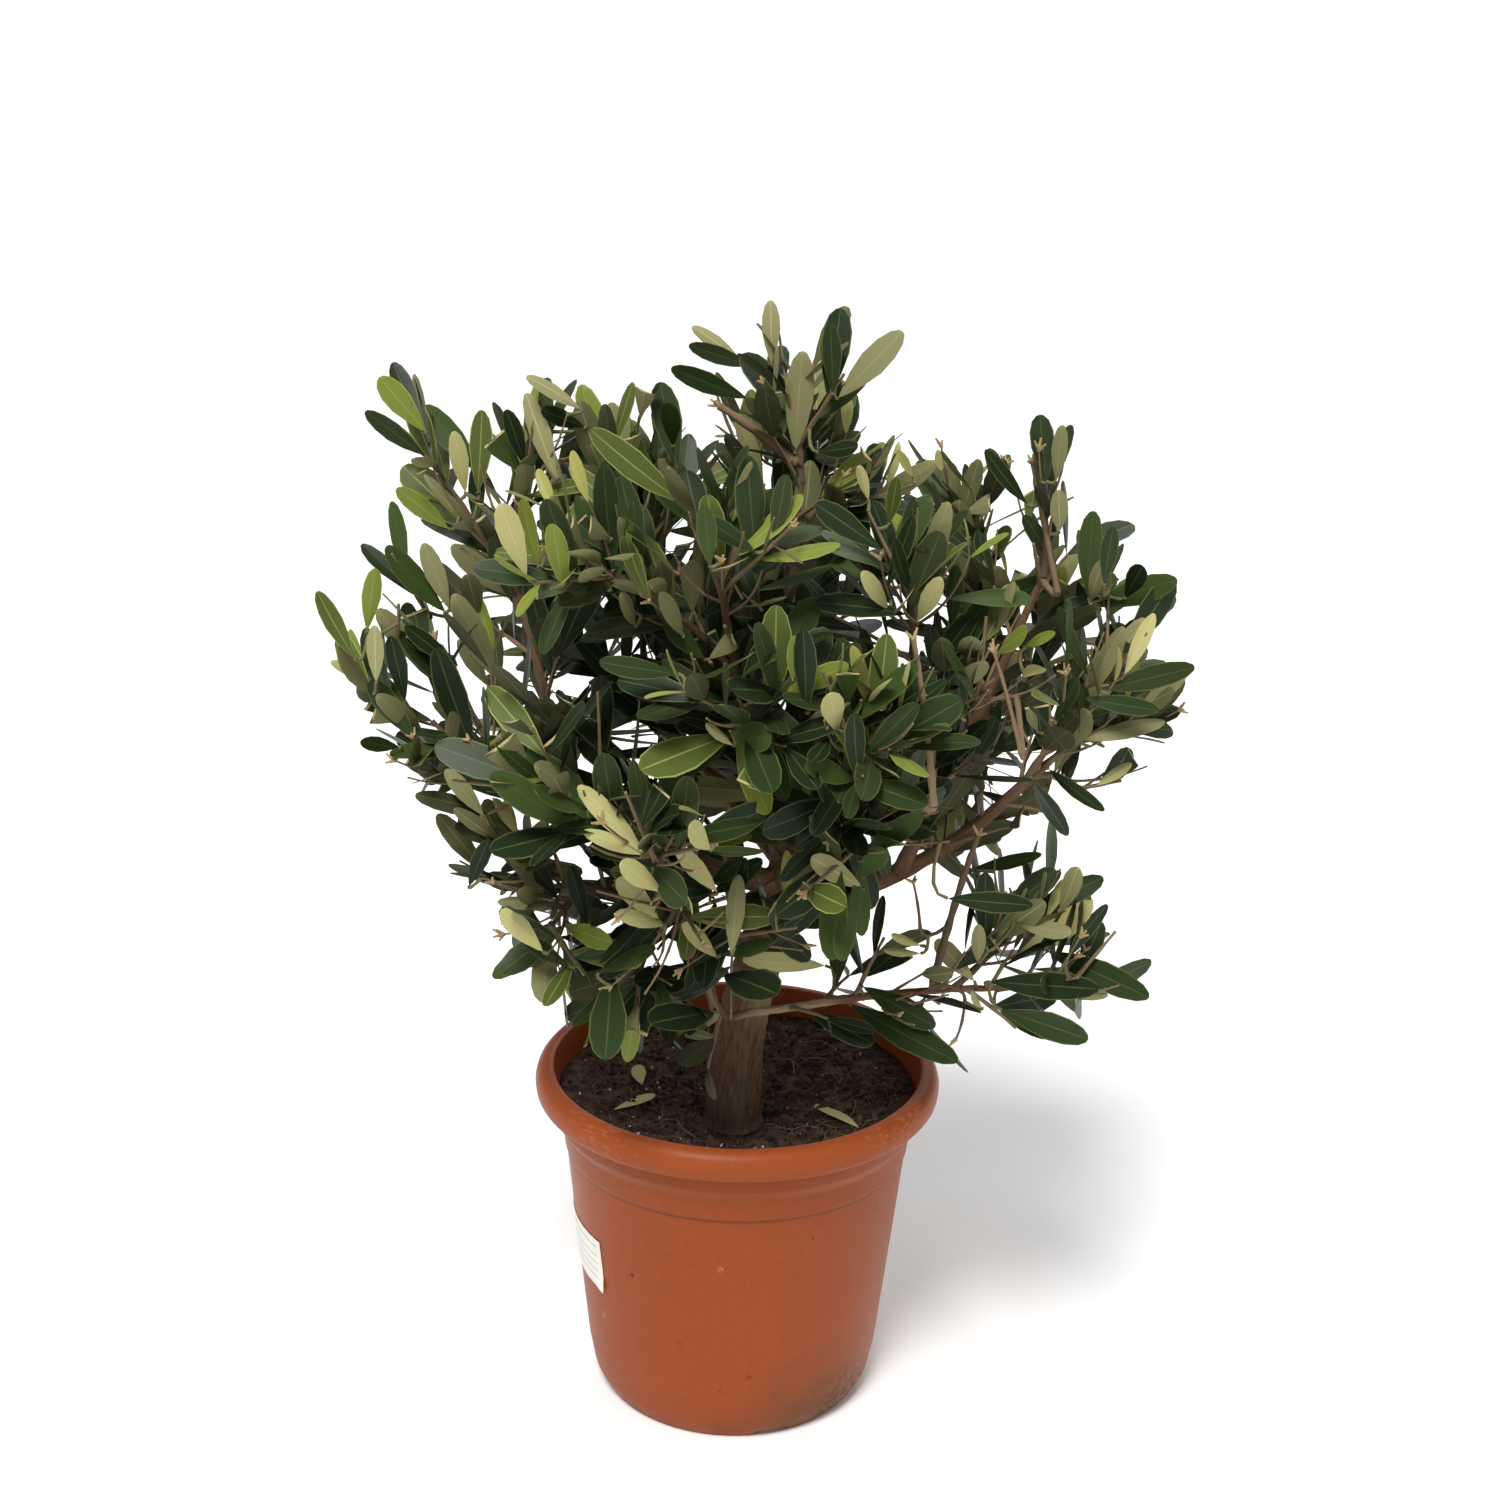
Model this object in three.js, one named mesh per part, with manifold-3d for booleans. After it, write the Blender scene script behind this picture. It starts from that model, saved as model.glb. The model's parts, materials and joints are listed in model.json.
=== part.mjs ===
// A young olive tree in a 24 cm nursery pot.
// Millimetres, +Z up. The origin is the middle of the pot's flat underside,
// and -Y is the side that the tree shows to a viewer.

import * as THREE from 'three';
import { mergeVertices } from 'three/addons/utils/BufferGeometryUtils.js';
import Module from 'manifold-3d';

const wasm = await Module();
wasm.setup();

// Driving dimensions of the pot
const POT_RIM_RADIUS = 120;
const POT_HEIGHT = 208;
const POT_FOOT_RADIUS = 77;
const POT_FLOOR = 8;
const POT_SIDES = 24;
const CHANNEL_COUNT = 4;
const CHANNEL_TURN = THREE.MathUtils.degToRad(18);
const CHANNEL_HALF_WIDTH = 14;
const CHANNEL_DEPTH = 4.5;
const CHANNEL_START = 46;
const CHANNEL_SLOPE = 4;
const DRAIN_RADIUS = 6;
const DRAIN_AT = 60;
const DRAIN_SIDES = 12;

// Driving dimensions of the soil, the label and the trunk
const SOIL_EDGE_HEIGHT = 190;
const SOIL_DIP_HEIGHT = 178;
const SOIL_DIP_RADIUS = 22;
const SOIL_WALL_HEIGHTS = [14, 100, 157, 173];
const SOIL_RINGS = [0.15, 0.45, 0.75, 1];
const SOIL_HOLLOW = 1.4;
const LABEL_WIDTH = 60;
const LABEL_HEIGHT = 34;
const LABEL_MIDDLE_HEIGHT = 99.5;
const LABEL_THICKNESS = 0.5;
const LABEL_TURN = THREE.MathUtils.degToRad(-71);
const LABEL_COLUMNS = 8;
const TRUNK_FOOT = [-2, -23];
const TRUNK_BENDS = [[-2, -23, 192], [3, -18, 246], [12, -14, 282], [23, -10, 312], [28, -5, 350]];
const TRUNK_LENGTH = 175;
const TRUNK_RADIUS = 15.2;
const TRUNK_TAPER = 5;
const TRUNK_SIDES = 10;
const TRUNK_STEPS = 10;
const ROOT_FLARE = 3;
const ROOT_FLARE_REACH = 12;
const BOUGH_TAPER = 1.4;
const BOUGH_SIDES = 6;
const BOUGH_STEPS = 5;
const LIMB_CHAIN_STEPS = 10;

// Driving dimensions of the foliage
const LEAF_LENGTH = 58;
const LEAF_WIDTH = 25;
const LEAF_THICKNESS = 1.5;
const LEAF_ROOT_DEPTH = 1;
const LEAF_WIDEST = 0.55;
const LEAF_THICKEST = 0.35;
const LEAF_SPREAD = THREE.MathUtils.degToRad(48);
const LEAF_STATIONS = [0.2, 0.35, 0.5, 0.65, 0.8, 0.95];
const LAST_PAIR_SPREAD = 0.55;
const LAST_PAIR_SHARE = 0.96;
const PAIR_OFFSET = 0.02;
const LEAF_SPREAD_RANGE = [0.75, 0.6];
const LEAF_LIFT = 0.3;
const LEAF_LARGEST = 1.1;
const LEAF_SHRINK = 0.3;
const BLADE_SIDES = [-0.7, 0, 0.7];
const LOWEST_LEAF = 216;
const BARE_SHARE = 0.2;
const STEM_PAIRS = 5;
const STEM_RADIUS = 2.6;
const STEM_STEPS = 3;
const STEM_CHAIN_STEPS = 16;
const LAST_STEM_FOOT = 0.99;
const STEM_END_ROOM = 0.92;
const STEM_RISE = 0.25;
const SIDE_STEM_PULL = 0.3;
const TWIG_PAIRS = 3;
const TWIG_COUNT = 3;
const TWIG_RADIUS = 1.6;
const TWIG_STEPS = 1;
const TWIG_SIDES = 3;
const TWIG_CHAIN_STEPS = 6;
const TWIG_THICK_FOOT = 1.1;
const TWIG_THIN_TIP = 0.65;
const TANGENT_STEP = 0.02;
const TWIG_SPREAD = THREE.MathUtils.degToRad(52);
const TWIG_RISE = 0.12;
const TWIG_LIFT_RANGE = [0.15, 0.2];
const TWIG_WANDER = 3;
const TWIG_LONGEST = 1.1;
const TWIG_SHRINK = 0.5;
const FIRST_TWIG = 0.3;
const TWIG_ZONE = 0.65;
const GOLDEN_TURN = THREE.MathUtils.degToRad(137.5);
const TRIES = 20;
const WANDER_RANGE = [0.2, 0.8];
const LEAF_SEED_STEP = 1000;

// Room between neighbours
const GAP = 0.3;
const ROOM_MARGIN = 0.05;
const SMALLEST_DETAIL = 0.05;
const SAME_POINT = 1e-4;
const LIMB_ROOM = 2;
const LEAF_ROOM = 6;
const CELL_ROOM = 0.03;
const CELL_TAPER = 0.4;
const TIP_ROOM = 1;

const UP = new THREE.Vector3(0, 0, 1);
const CROSSWISE = new THREE.Vector3(0.8, -0.6, 0);

const vector = ([x, y, z]) => new THREE.Vector3(x, y, z);

// Boughs: parent, share of the parent where it leaves, points up to its tip,
// and its radius at the foot and at the tip.
const BOUGHS = {
  leader: ['trunk', 1, [[28, -2, 425], [24, 0, 505], [28, 0, 560]], 9, 3.5],
  right: ['trunk', 0.78, [[78, -14, 330], [124, -10, 356], [172, 5, 396]], 8.5, 4.5],
  left: ['trunk', 0.86, [[-40, -30, 350], [-102, -40, 384], [-154, -40, 410]], 8, 4.2],
  back: ['trunk', 0.8, [[22, 50, 372], [5, 115, 425]], 7, 4],
  front_left: ['trunk', 0.7, [[-5, -62, 342], [-35, -115, 385]], 6, 3.5],
  right_back: ['trunk', 0.9, [[82, 28, 360], [125, 48, 386], [160, 60, 422]], 7, 4],
  up_left: ['trunk', 0.94, [[-12, -2, 415], [-52, 4, 500]], 7, 3.8],
  front_right: ['trunk', 0.87, [[42, -58, 378], [50, -112, 428]], 6, 3.5],
  left_low: ['trunk', 0.62, [[-40, -40, 318], [-104, -62, 348]], 6, 3.5],
  low_right: ['left_low', 0.34, [[-20, -47, 290], [-10, -50, 261], [12, -48, 262],
    [62, -43, 269], [110, -40, 274], [150, -36, 275]], 3.4, 3.2],
  back_left: ['trunk', 0.92, [[-36, 50, 388], [-100, 95, 438]], 6, 3.6],
  back_right: ['trunk', 0.68, [[70, 62, 345], [112, 112, 380]], 6, 3.5],
  front_up: ['trunk', 0.97, [[6, -45, 415], [-10, -92, 500]], 6, 3.5],
  right_up: ['right', 0.42, [[104, -46, 398], [88, -78, 486]], 5, 3],
  left_up: ['left', 0.7, [[-112, -20, 440], [-128, -10, 500]], 5, 3.2],
  right_top: ['right_back', 0.7, [[146, 30, 445], [166, 18, 505]], 5, 3.2],
};

// Masses of foliage: the bough that carries the stem, the share of the bough where the
// stem leaves it, the far tip that the leaves reach, how far they spread round it, and the
// seed that its twigs and leaves are dealt from.
const MASSES = {
  top: ['leader', 1, [10, -5, 655], 74, 8108],
  top_right_middle: ['leader', 0.72, [88, 25, 574], 74, 117],
  top_back: ['leader', 0.6, [15, 112, 588], 84, 134],
  top_middle: ['up_left', 1, [-56, 10, 611], 74, 10161],
  top_left: ['left_up', 1, [-122, -10, 613], 72, 7175],
  top_left_end: ['left_up', 0.8, [-203, 10, 610], 66, 1186],
  left_end: ['left', 1, [-234, -32, 499], 74, 202],
  left_high: ['left', 0.86, [-206, 8, 540], 70, 219],
  left_side: ['left', 0.8, [-222, -52, 420], 70, 2238],
  left_under: ['left_low', 1, [-162, -22, 322], 72, 253],
  left_low_front: ['left_low', 0.84, [-130, -85, 290], 70, 6276],
  left_hanging: ['left_low', 0.5, [-72, -112, 238], 62, 287],
  front_low: ['front_left', 1, [-54, -202, 398], 78, 6310],
  front_left_side: ['front_left', 0.8, [-150, -148, 456], 84, 321],
  front_left_low: ['front_left', 0.66, [-72, -148, 318], 70, 1339],
  front_centre: ['front_left', 0.55, [12, -130, 300], 70, 3358],
  front_middle: ['front_up', 0.66, [2, -203, 478], 80, 4376],
  front_top: ['front_up', 1, [-16, -152, 580], 78, 3392],
  front_top_left: ['front_up', 0.82, [-118, -132, 574], 80, 406],
  front_right: ['front_right', 1, [66, -196, 484], 76, 3426],
  front_low_right: ['front_right', 0.72, [80, -165, 368], 74, 8448],
  right_front_top: ['right_up', 1, [82, -120, 562], 74, 457],
  right_front: ['right_up', 0.7, [150, -136, 506], 76, 5479],
  right_end: ['right', 1, [249, 8, 452], 74, 9500],
  right_high: ['right', 0.9, [240, -4, 510], 70, 508],
  right_hanging: ['right', 0.95, [234, 58, 348], 64, 1526],
  right_top: ['right_top', 1, [158, 20, 597], 72, 542],
  back_right: ['right_back', 1, [198, 128, 478], 84, 559],
  back_right_top: ['right_back', 0.84, [112, 122, 562], 84, 576],
  low_right: ['low_right', 1, [238, -42, 272], 68, 3596],
  low_right_up: ['low_right', 0.88, [202, 22, 332], 66, 5615],
  low_right_front: ['low_right', 0.72, [128, -92, 240], 60, 6633],
  back: ['back', 1, [15, 205, 472], 84, 644],
  back_low: ['back', 0.74, [30, 165, 330], 84, 661],
  back_left: ['back_left', 1, [-168, 142, 482], 84, 678],
  back_left_top: ['back_left', 0.66, [-68, 125, 578], 84, 695],
  back_left_low: ['back_left', 0.84, [-142, 110, 352], 84, 712],
  back_right_low: ['back_right', 1, [166, 126, 338], 84, 729],
};

// Colours and finishes
const TERRACOTTA = { color: 0xa85630, roughness: 0.45, metalness: 0 };
const SOIL = { color: 0x30251f, roughness: 0.95, metalness: 0 };
const LABEL = { color: 0xe9e6e0, roughness: 0.6, metalness: 0 };
const BARK = { color: 0x6e5c4a, roughness: 0.85, metalness: 0 };
const LEAF = { color: 0x3a4c2c, roughness: 0.5, metalness: 0 };

/** Repeatable numbers from 0 to 1, after a few warm-up draws. */
function seeded(seed) {
  let state = seed >>> 0;
  const draw = () => {
    state = (Math.imul(state, 1664525) + 1013904223) >>> 0;
    return state / 4294967296;
  };
  draw();
  draw();
  draw();
  return draw;
}

/** A closed geometry through rings of points, with a flat fan at each end. */
function loft(rings) {
  const sides = rings[0].length;
  const index = [];
  for (let r = 0; r < rings.length - 1; r++) {
    for (let s = 0; s < sides; s++) {
      const next = (s + 1) % sides;
      const [a, b] = [r * sides + s, r * sides + next];
      const [c, d] = [a + sides, b + sides];
      index.push(a, b, d, a, d, c);
    }
  }
  const last = (rings.length - 1) * sides;
  for (let s = 1; s < sides - 1; s++) {
    index.push(0, s + 1, s, last, last + s, last + s + 1);
  }
  const geometry = new THREE.BufferGeometry();
  geometry.setFromPoints(rings.flat());
  geometry.setIndex(index);
  return geometry;
}

/** A ring of points round a middle, in the plane of two directions. */
function ring(middle, across, along, radius, sides) {
  const points = [];
  for (let s = 0; s < sides; s++) {
    const turn = (2 * Math.PI * s) / sides;
    const point = middle.clone().addScaledVector(across, radius * Math.cos(turn));
    points.push(point.addScaledVector(along, radius * Math.sin(turn)));
  }
  return points;
}

/** A round limb along a curve. Extra makes it thicker and longer at its tip. */
function limbGeometry(curve, radiusAt, sides, steps, extra = 0) {
  const rings = [];
  const across = new THREE.Vector3(1, 0, 0);
  for (let i = 0; i <= steps; i++) {
    const share = i / steps;
    const middle = curve.getPoint(share);
    const ahead = curve.getTangent(share);
    across.addScaledVector(ahead, -across.dot(ahead)).normalize();
    const along = new THREE.Vector3().crossVectors(ahead, across);
    if (i === steps) middle.addScaledVector(ahead, extra);
    rings.push(ring(middle, across, along, radiusAt(share) + extra, sides));
  }
  return loft(rings);
}

function toSolid(geometry) {
  const bare = geometry.clone();
  bare.deleteAttribute('normal');
  bare.deleteAttribute('uv');
  const merged = mergeVertices(bare, SAME_POINT);
  const corners = Array.from(merged.index.array);
  const faces = [];
  for (let i = 0; i < corners.length; i += 3) {
    const [a, b, c] = corners.slice(i, i + 3);
    if (a !== b && b !== c && c !== a) faces.push(a, b, c);
  }
  return new wasm.Manifold(new wasm.Mesh({
    numProp: 3,
    vertProperties: new Float32Array(merged.attributes.position.array),
    triVerts: new Uint32Array(faces),
  }));
}

function toGeometry(solid) {
  const mesh = solid.getMesh();
  const geometry = new THREE.BufferGeometry();
  geometry.setAttribute('position', new THREE.BufferAttribute(mesh.vertProperties, 3));
  geometry.setIndex(new THREE.BufferAttribute(mesh.triVerts, 1));
  return geometry;
}

/** The largest piece of a solid, without the scraps that a cut leaves. */
function largest(solid) {
  const pieces = solid.decompose();
  return pieces.reduce((best, piece) => (piece.volume() > best.volume() ? piece : best));
}

function meshOf(name, geometry, finish) {
  const mesh = new THREE.Mesh(geometry, new THREE.MeshStandardMaterial(finish));
  geometry.computeVertexNormals();
  mesh.name = name;
  return mesh;
}

// The pot's outer wall, from the foot up to the turned-out rim: radius and height.
const POT_OUTSIDE = [
  [POT_FOOT_RADIUS, 0], [80.5, 4], [84.5, 12], [88, 30], [95.5, 100], [101.5, 157],
  [102.5, 158.5], [104, 172], [108.5, 178], [110, 190], [111.5, 203],
];
const POT_RIM = [
  [114.5, 203], [114.5, 190.8], [117, 190], [119.3, 193], [POT_RIM_RADIUS, 199],
  [118.5, 204], [115.5, 207], [112, POT_HEIGHT], [109, 207.5],
];
const POT_INSIDE = [
  [107, 196], [105.5, 182], [104.5, 179], [101, 173], [98.5, 157],
  [92.5, 100], [85, 30], [81.5, 14], [76, POT_FLOOR],
];

/** The radius of a wall at a height, between the points of its outline. */
function wallRadius(outline, height) {
  const points = [...outline].sort((a, b) => a[1] - b[1]);
  const above = Math.max(1, points.findIndex((point) => point[1] >= height));
  const [r0, z0] = points[above - 1];
  const [r1, z1] = points[above];
  return r0 + ((r1 - r0) * (height - z0)) / (z1 - z0);
}

function lathe(outline) {
  const points = outline.map(([radius, height]) => new THREE.Vector2(radius, height));
  return new THREE.LatheGeometry(points, POT_SIDES).rotateX(Math.PI / 2);
}

/** One drain channel under the pot, a wedge with sloped sides, and its hole. */
function drain(turn) {
  const outward = new THREE.Vector3(Math.sin(turn), -Math.cos(turn), 0);
  const sideways = new THREE.Vector3(-outward.y, outward.x, 0);
  const section = (distance) => [
    [-CHANNEL_HALF_WIDTH, -CHANNEL_DEPTH], [CHANNEL_HALF_WIDTH, -CHANNEL_DEPTH],
    [CHANNEL_HALF_WIDTH - CHANNEL_SLOPE, CHANNEL_DEPTH],
    [CHANNEL_SLOPE - CHANNEL_HALF_WIDTH, CHANNEL_DEPTH],
  ].map(([width, height]) => outward.clone().multiplyScalar(distance)
    .addScaledVector(sideways, width).addScaledVector(UP, height));
  const outside = POT_FOOT_RADIUS + CHANNEL_HALF_WIDTH;
  const channel = toSolid(loft([section(CHANNEL_START), section(outside)]));
  const depth = 3 * POT_FLOOR;
  const hole = new THREE.CylinderGeometry(DRAIN_RADIUS, DRAIN_RADIUS, depth, DRAIN_SIDES);
  hole.rotateX(Math.PI / 2).translate(outward.x * DRAIN_AT, outward.y * DRAIN_AT, 0);
  return channel.add(toSolid(hole));
}

function potGeometry() {
  let pot = toSolid(lathe([[0, 0], ...POT_OUTSIDE, ...POT_RIM, ...POT_INSIDE, [0, POT_FLOOR]]));
  for (let i = 0; i < CHANNEL_COUNT; i++) {
    pot = pot.subtract(drain(CHANNEL_TURN + (i * Math.PI * 2) / CHANNEL_COUNT));
  }
  return toGeometry(pot);
}

/** Soil that fills the pot, level at the wall and hollowed round the trunk. */
function soilGeometry() {
  const heights = [POT_FLOOR + GAP, ...SOIL_WALL_HEIGHTS, SOIL_EDGE_HEIGHT];
  const room = GAP + 2 * ROOM_MARGIN;
  const outline = heights.map((z) => [wallRadius(POT_INSIDE, z) - room, z, 0]);
  const edge = outline[outline.length - 1][0];
  const fall = SOIL_EDGE_HEIGHT - SOIL_DIP_HEIGHT;
  for (const share of SOIL_RINGS) {
    const radius = THREE.MathUtils.lerp(edge, SOIL_DIP_RADIUS, share);
    outline.push([radius, SOIL_EDGE_HEIGHT - fall * share ** SOIL_HOLLOW, share]);
  }
  const across = new THREE.Vector3(1, 0, 0);
  const along = new THREE.Vector3(0, 1, 0);
  return loft(outline.map(([radius, height, share]) => {
    const middle = new THREE.Vector3(TRUNK_FOOT[0] * share, TRUNK_FOOT[1] * share, height);
    return ring(middle, across, along, radius, POT_SIDES);
  }));
}

/** A thin paper label that follows the pot's wall. */
function labelGeometry() {
  const rings = [];
  for (let c = 0; c <= LABEL_COLUMNS; c++) {
    const corner = (height, lift) => {
      const radius = wallRadius(POT_OUTSIDE, height);
      const turn = LABEL_TURN + ((c / LABEL_COLUMNS - 0.5) * LABEL_WIDTH) / radius;
      const out = radius + GAP + lift;
      return new THREE.Vector3(Math.sin(turn) * out, -Math.cos(turn) * out, height);
    };
    const low = LABEL_MIDDLE_HEIGHT - LABEL_HEIGHT / 2;
    const high = LABEL_MIDDLE_HEIGHT + LABEL_HEIGHT / 2;
    rings.push([corner(low, 0), corner(high, 0), corner(high, LABEL_THICKNESS),
      corner(low, LABEL_THICKNESS)]);
  }
  return loft(rings);
}

/** The trunk: a lean to the right, and a flare where it meets the soil. */
function trunkLimb() {
  const foot = [...TRUNK_FOOT, SOIL_DIP_HEIGHT + GAP];
  const curve = splineThrough([foot, ...TRUNK_BENDS]);
  const radiusAt = (share) => {
    const flare = ROOT_FLARE * Math.exp((-share * TRUNK_LENGTH) / ROOT_FLARE_REACH);
    return TRUNK_RADIUS - TRUNK_TAPER * share ** 3 + flare;
  };
  return { curve, radiusAt, sides: TRUNK_SIDES, steps: TRUNK_STEPS };
}

function splineThrough(points) {
  return new THREE.CatmullRomCurve3(points.map(vector), false, 'catmullrom', 0.5);
}

/** One bough, from the middle of its parent to its tip. */
function boughLimb([parent, share, points, footRadius, tipRadius], limbs) {
  const foot = limbs[parent].curve.getPoint(share).toArray();
  const curve = splineThrough([foot, ...points]);
  const taper = (along) => (1 - along) ** BOUGH_TAPER;
  const radiusAt = (along) => THREE.MathUtils.lerp(tipRadius, footRadius, taper(along));
  return { curve, radiusAt, sides: BOUGH_SIDES, steps: BOUGH_STEPS };
}

/** Every limb with its curve, its solid, and a fuller solid that keeps others clear. */
function makeLimbs() {
  const limbs = { trunk: trunkLimb() };
  for (const [name, row] of Object.entries(BOUGHS)) limbs[name] = boughLimb(row, limbs);
  const made = [];
  for (const [name, limb] of Object.entries(limbs)) {
    const { curve, radiusAt, sides, steps } = limb;
    limb.room = toSolid(limbGeometry(curve, radiusAt, sides, steps, GAP + ROOM_MARGIN));
    limb.solid = toSolid(limbGeometry(curve, radiusAt, sides, steps));
    for (const earlier of made) limb.solid = limb.solid.subtract(earlier.room);
    limb.solid = largest(limb.solid);
    limb.chain = chainOf(curve, LIMB_CHAIN_STEPS);
    limb.node = name === 'trunk' ? 'trunk' : `bough_${name}`;
    made.push(limb);
  }
  return limbs;
}

/** Straight stretches between points on a bent line: a twig's axis. */
class Chain {
  constructor(start, bend, end, steps) {
    const curve = new THREE.QuadraticBezierCurve3(start, bend, end);
    this.points = chainOf(curve, steps);
  }

  getPoint(share) {
    const stretches = this.points.length - 1;
    const at = THREE.MathUtils.clamp(share, 0, 1) * stretches;
    const first = Math.min(Math.floor(at), stretches - 1);
    return this.points[first].clone().lerp(this.points[first + 1], at - first);
  }

  getTangent(share) {
    const behind = this.getPoint(share - TANGENT_STEP);
    return this.getPoint(share + TANGENT_STEP).sub(behind).normalize();
  }
}

function chainOf(curve, steps) {
  return Array.from({ length: steps + 1 }, (_, i) => curve.getPoint(i / steps));
}

/** The distance from a point to a chain of points, and where along the chain it falls. */
function nearest(point, chain) {
  let best = { distance: Infinity, share: 0 };
  const line = new THREE.Line3();
  const foot = new THREE.Vector3();
  for (let i = 0; i < chain.length - 1; i++) {
    line.set(chain[i], chain[i + 1]);
    const t = line.closestPointToPointParameter(point, true);
    const distance = line.at(t, foot).distanceTo(point);
    if (distance < best.distance) best = { distance, share: (i + t) / (chain.length - 1) };
  }
  return best;
}

/** A mass's stem: it leaves its bough, turns to the far tip and stops a leaf short of it. */
function makeStem([carrier, share, tip, spread, seed], limbs) {
  const { curve } = limbs[carrier];
  const leaves = Math.min(share, LAST_STEM_FOOT);
  const foot = curve.getPoint(leaves);
  const far = vector(tip);
  const toFar = far.clone().sub(foot);
  const ahead = toFar.clone().normalize();
  const start = curve.getTangent(leaves).multiplyScalar(share === 1 ? 1 : SIDE_STEM_PULL);
  start.add(ahead).addScaledVector(UP, STEM_RISE).normalize();
  const reach = toFar.length() - Math.min(STEM_END_ROOM * LEAF_LENGTH, toFar.length() / 2);
  const end = foot.clone().addScaledVector(ahead, reach);
  const bend = foot.clone().addScaledVector(start, reach / 2);
  const path = new Chain(foot, bend, end, STEM_STEPS);
  return { foot, far, spread, seed, path, chain: [...path.points, far] };
}

/** Whether a point is in the mass's own space, clear of limbs and of the other masses. */
function inSpace(point, mass, masses, limbs) {
  if (point.z < LOWEST_LEAF) return false;
  const own = nearest(point, mass.chain);
  const beyond = point.clone().sub(mass.far).dot(mass.far.clone().sub(mass.foot).normalize());
  const widest = mass.spread * (1 - CELL_TAPER * own.share ** 3);
  if (beyond > TIP_ROOM || own.distance > widest) return false;
  for (const other of masses) {
    if (other === mass) continue;
    const apart = nearest(point, other.chain).distance / other.spread;
    if (apart < own.distance / mass.spread + CELL_ROOM) return false;
  }
  for (const limb of Object.values(limbs)) {
    const { distance, share } = nearest(point, limb.chain);
    if (distance < limb.radiusAt(share) + LIMB_ROOM) return false;
  }
  return true;
}

/** Side twigs in golden turns round the stem, without those that leave the space. */
function growTwigs(mass, draw, fits) {
  const twigs = [{ path: mass.path, radius: STEM_RADIUS, pairs: STEM_PAIRS,
    chain: chainOf(mass.path, STEM_CHAIN_STEPS) }];
  const offset = draw() * Math.PI * 2;
  const [leastLift, moreLift] = TWIG_LIFT_RANGE;
  const clear = (twig) => twig.chain.slice(1).every(fits)
    && twigs.every((other) => farApart(twig.chain.slice(1), other.chain));
  for (let i = 0; i < TWIG_COUNT; i++) {
    const share = FIRST_TWIG + (TWIG_ZONE * (i + 0.5)) / TWIG_COUNT;
    const ahead = mass.path.getTangent(share);
    const start = mass.path.getPoint(share);
    const twig = firstThatFits(clear, (wander) => {
      const turn = offset + i * GOLDEN_TURN;
      const out = sideways(ahead, turn + (draw() - 0.5) * wander * TWIG_WANDER);
      const direction = leaning(ahead, out, TWIG_SPREAD, leastLift + moreLift * draw());
      const shrink = TWIG_LONGEST - TWIG_SHRINK * wander * draw();
      const length = (mass.spread - LEAF_LENGTH / 2) * shrink;
      const bend = start.clone().addScaledVector(direction, length / 2);
      const end = start.clone().addScaledVector(direction, length);
      end.addScaledVector(UP, length * TWIG_RISE);
      const path = new Chain(start, bend, end, TWIG_STEPS);
      return { path, radius: TWIG_RADIUS, pairs: TWIG_PAIRS, chain: chainOf(path, TWIG_CHAIN_STEPS) };
    });
    if (twig) twigs.push(twig);
  }
  return twigs;
}

/** A direction square to another, at a turn round it. */
function sideways(ahead, turn) {
  const square = new THREE.Vector3().crossVectors(ahead, CROSSWISE).normalize();
  return square.applyAxisAngle(ahead, turn);
}

/** A direction that leans out from another by an angle, and up by a share. */
function leaning(ahead, out, angle, lift) {
  const direction = ahead.clone().multiplyScalar(Math.cos(angle));
  return direction.addScaledVector(out, Math.sin(angle)).addScaledVector(UP, lift).normalize();
}

/** Opposite pairs of leaves along a twig, each pair a quarter turn from the last. */
function growLeaves(twig, twigs, leaves, draw, fits) {
  const { pairs } = twig;
  const [leastSpread, moreSpread] = LEAF_SPREAD_RANGE;
  const offset = draw() * Math.PI;
  for (let i = 1; i <= pairs; i++) {
    const share = i / pairs;
    if (share < BARE_SHARE) continue;
    const ahead = twig.path.getTangent(share);
    const spread = LEAF_SPREAD * (share === 1 ? LAST_PAIR_SPREAD : 1);
    for (const side of [0, Math.PI]) {
      const turn = offset + i * (Math.PI / 2) + side;
      const clear = (leaf) => leaf.outline.every(fits)
        && leaves.every((other) => farApart(leaf.blade, other.blade))
        && twigs.every((other) => other === twig || farApart(leaf.blade, other.chain));
      const nodeShare = Math.min(share, LAST_PAIR_SHARE) - PAIR_OFFSET * Math.sign(side);
      const node = twig.path.getPoint(nodeShare);
      const leaf = firstThatFits(clear, (wander) => {
        const out = sideways(ahead, turn + (draw() - 0.5) * wander * Math.PI);
        const angle = spread * (leastSpread + moreSpread * draw());
        const direction = leaning(ahead, out, angle, LEAF_LIFT * draw());
        return leafAt(node, direction, ahead, LEAF_LARGEST - LEAF_SHRINK * wander * draw());
      });
      if (leaf) leaves.push(leaf);
    }
  }
}

function farApart(points, others) {
  return points.every((point) => others.every((other) => point.distanceTo(other) > LEAF_ROOM));
}

/** Tries a shape in directions that wander further each time, and keeps the first that fits. */
function firstThatFits(clear, make) {
  const [leastWander, moreWander] = WANDER_RANGE;
  for (let i = 0; i < TRIES; i++) {
    const shape = make(leastWander + (moreWander * i) / TRIES);
    if (clear(shape)) return shape;
  }
  return null;
}

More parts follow.
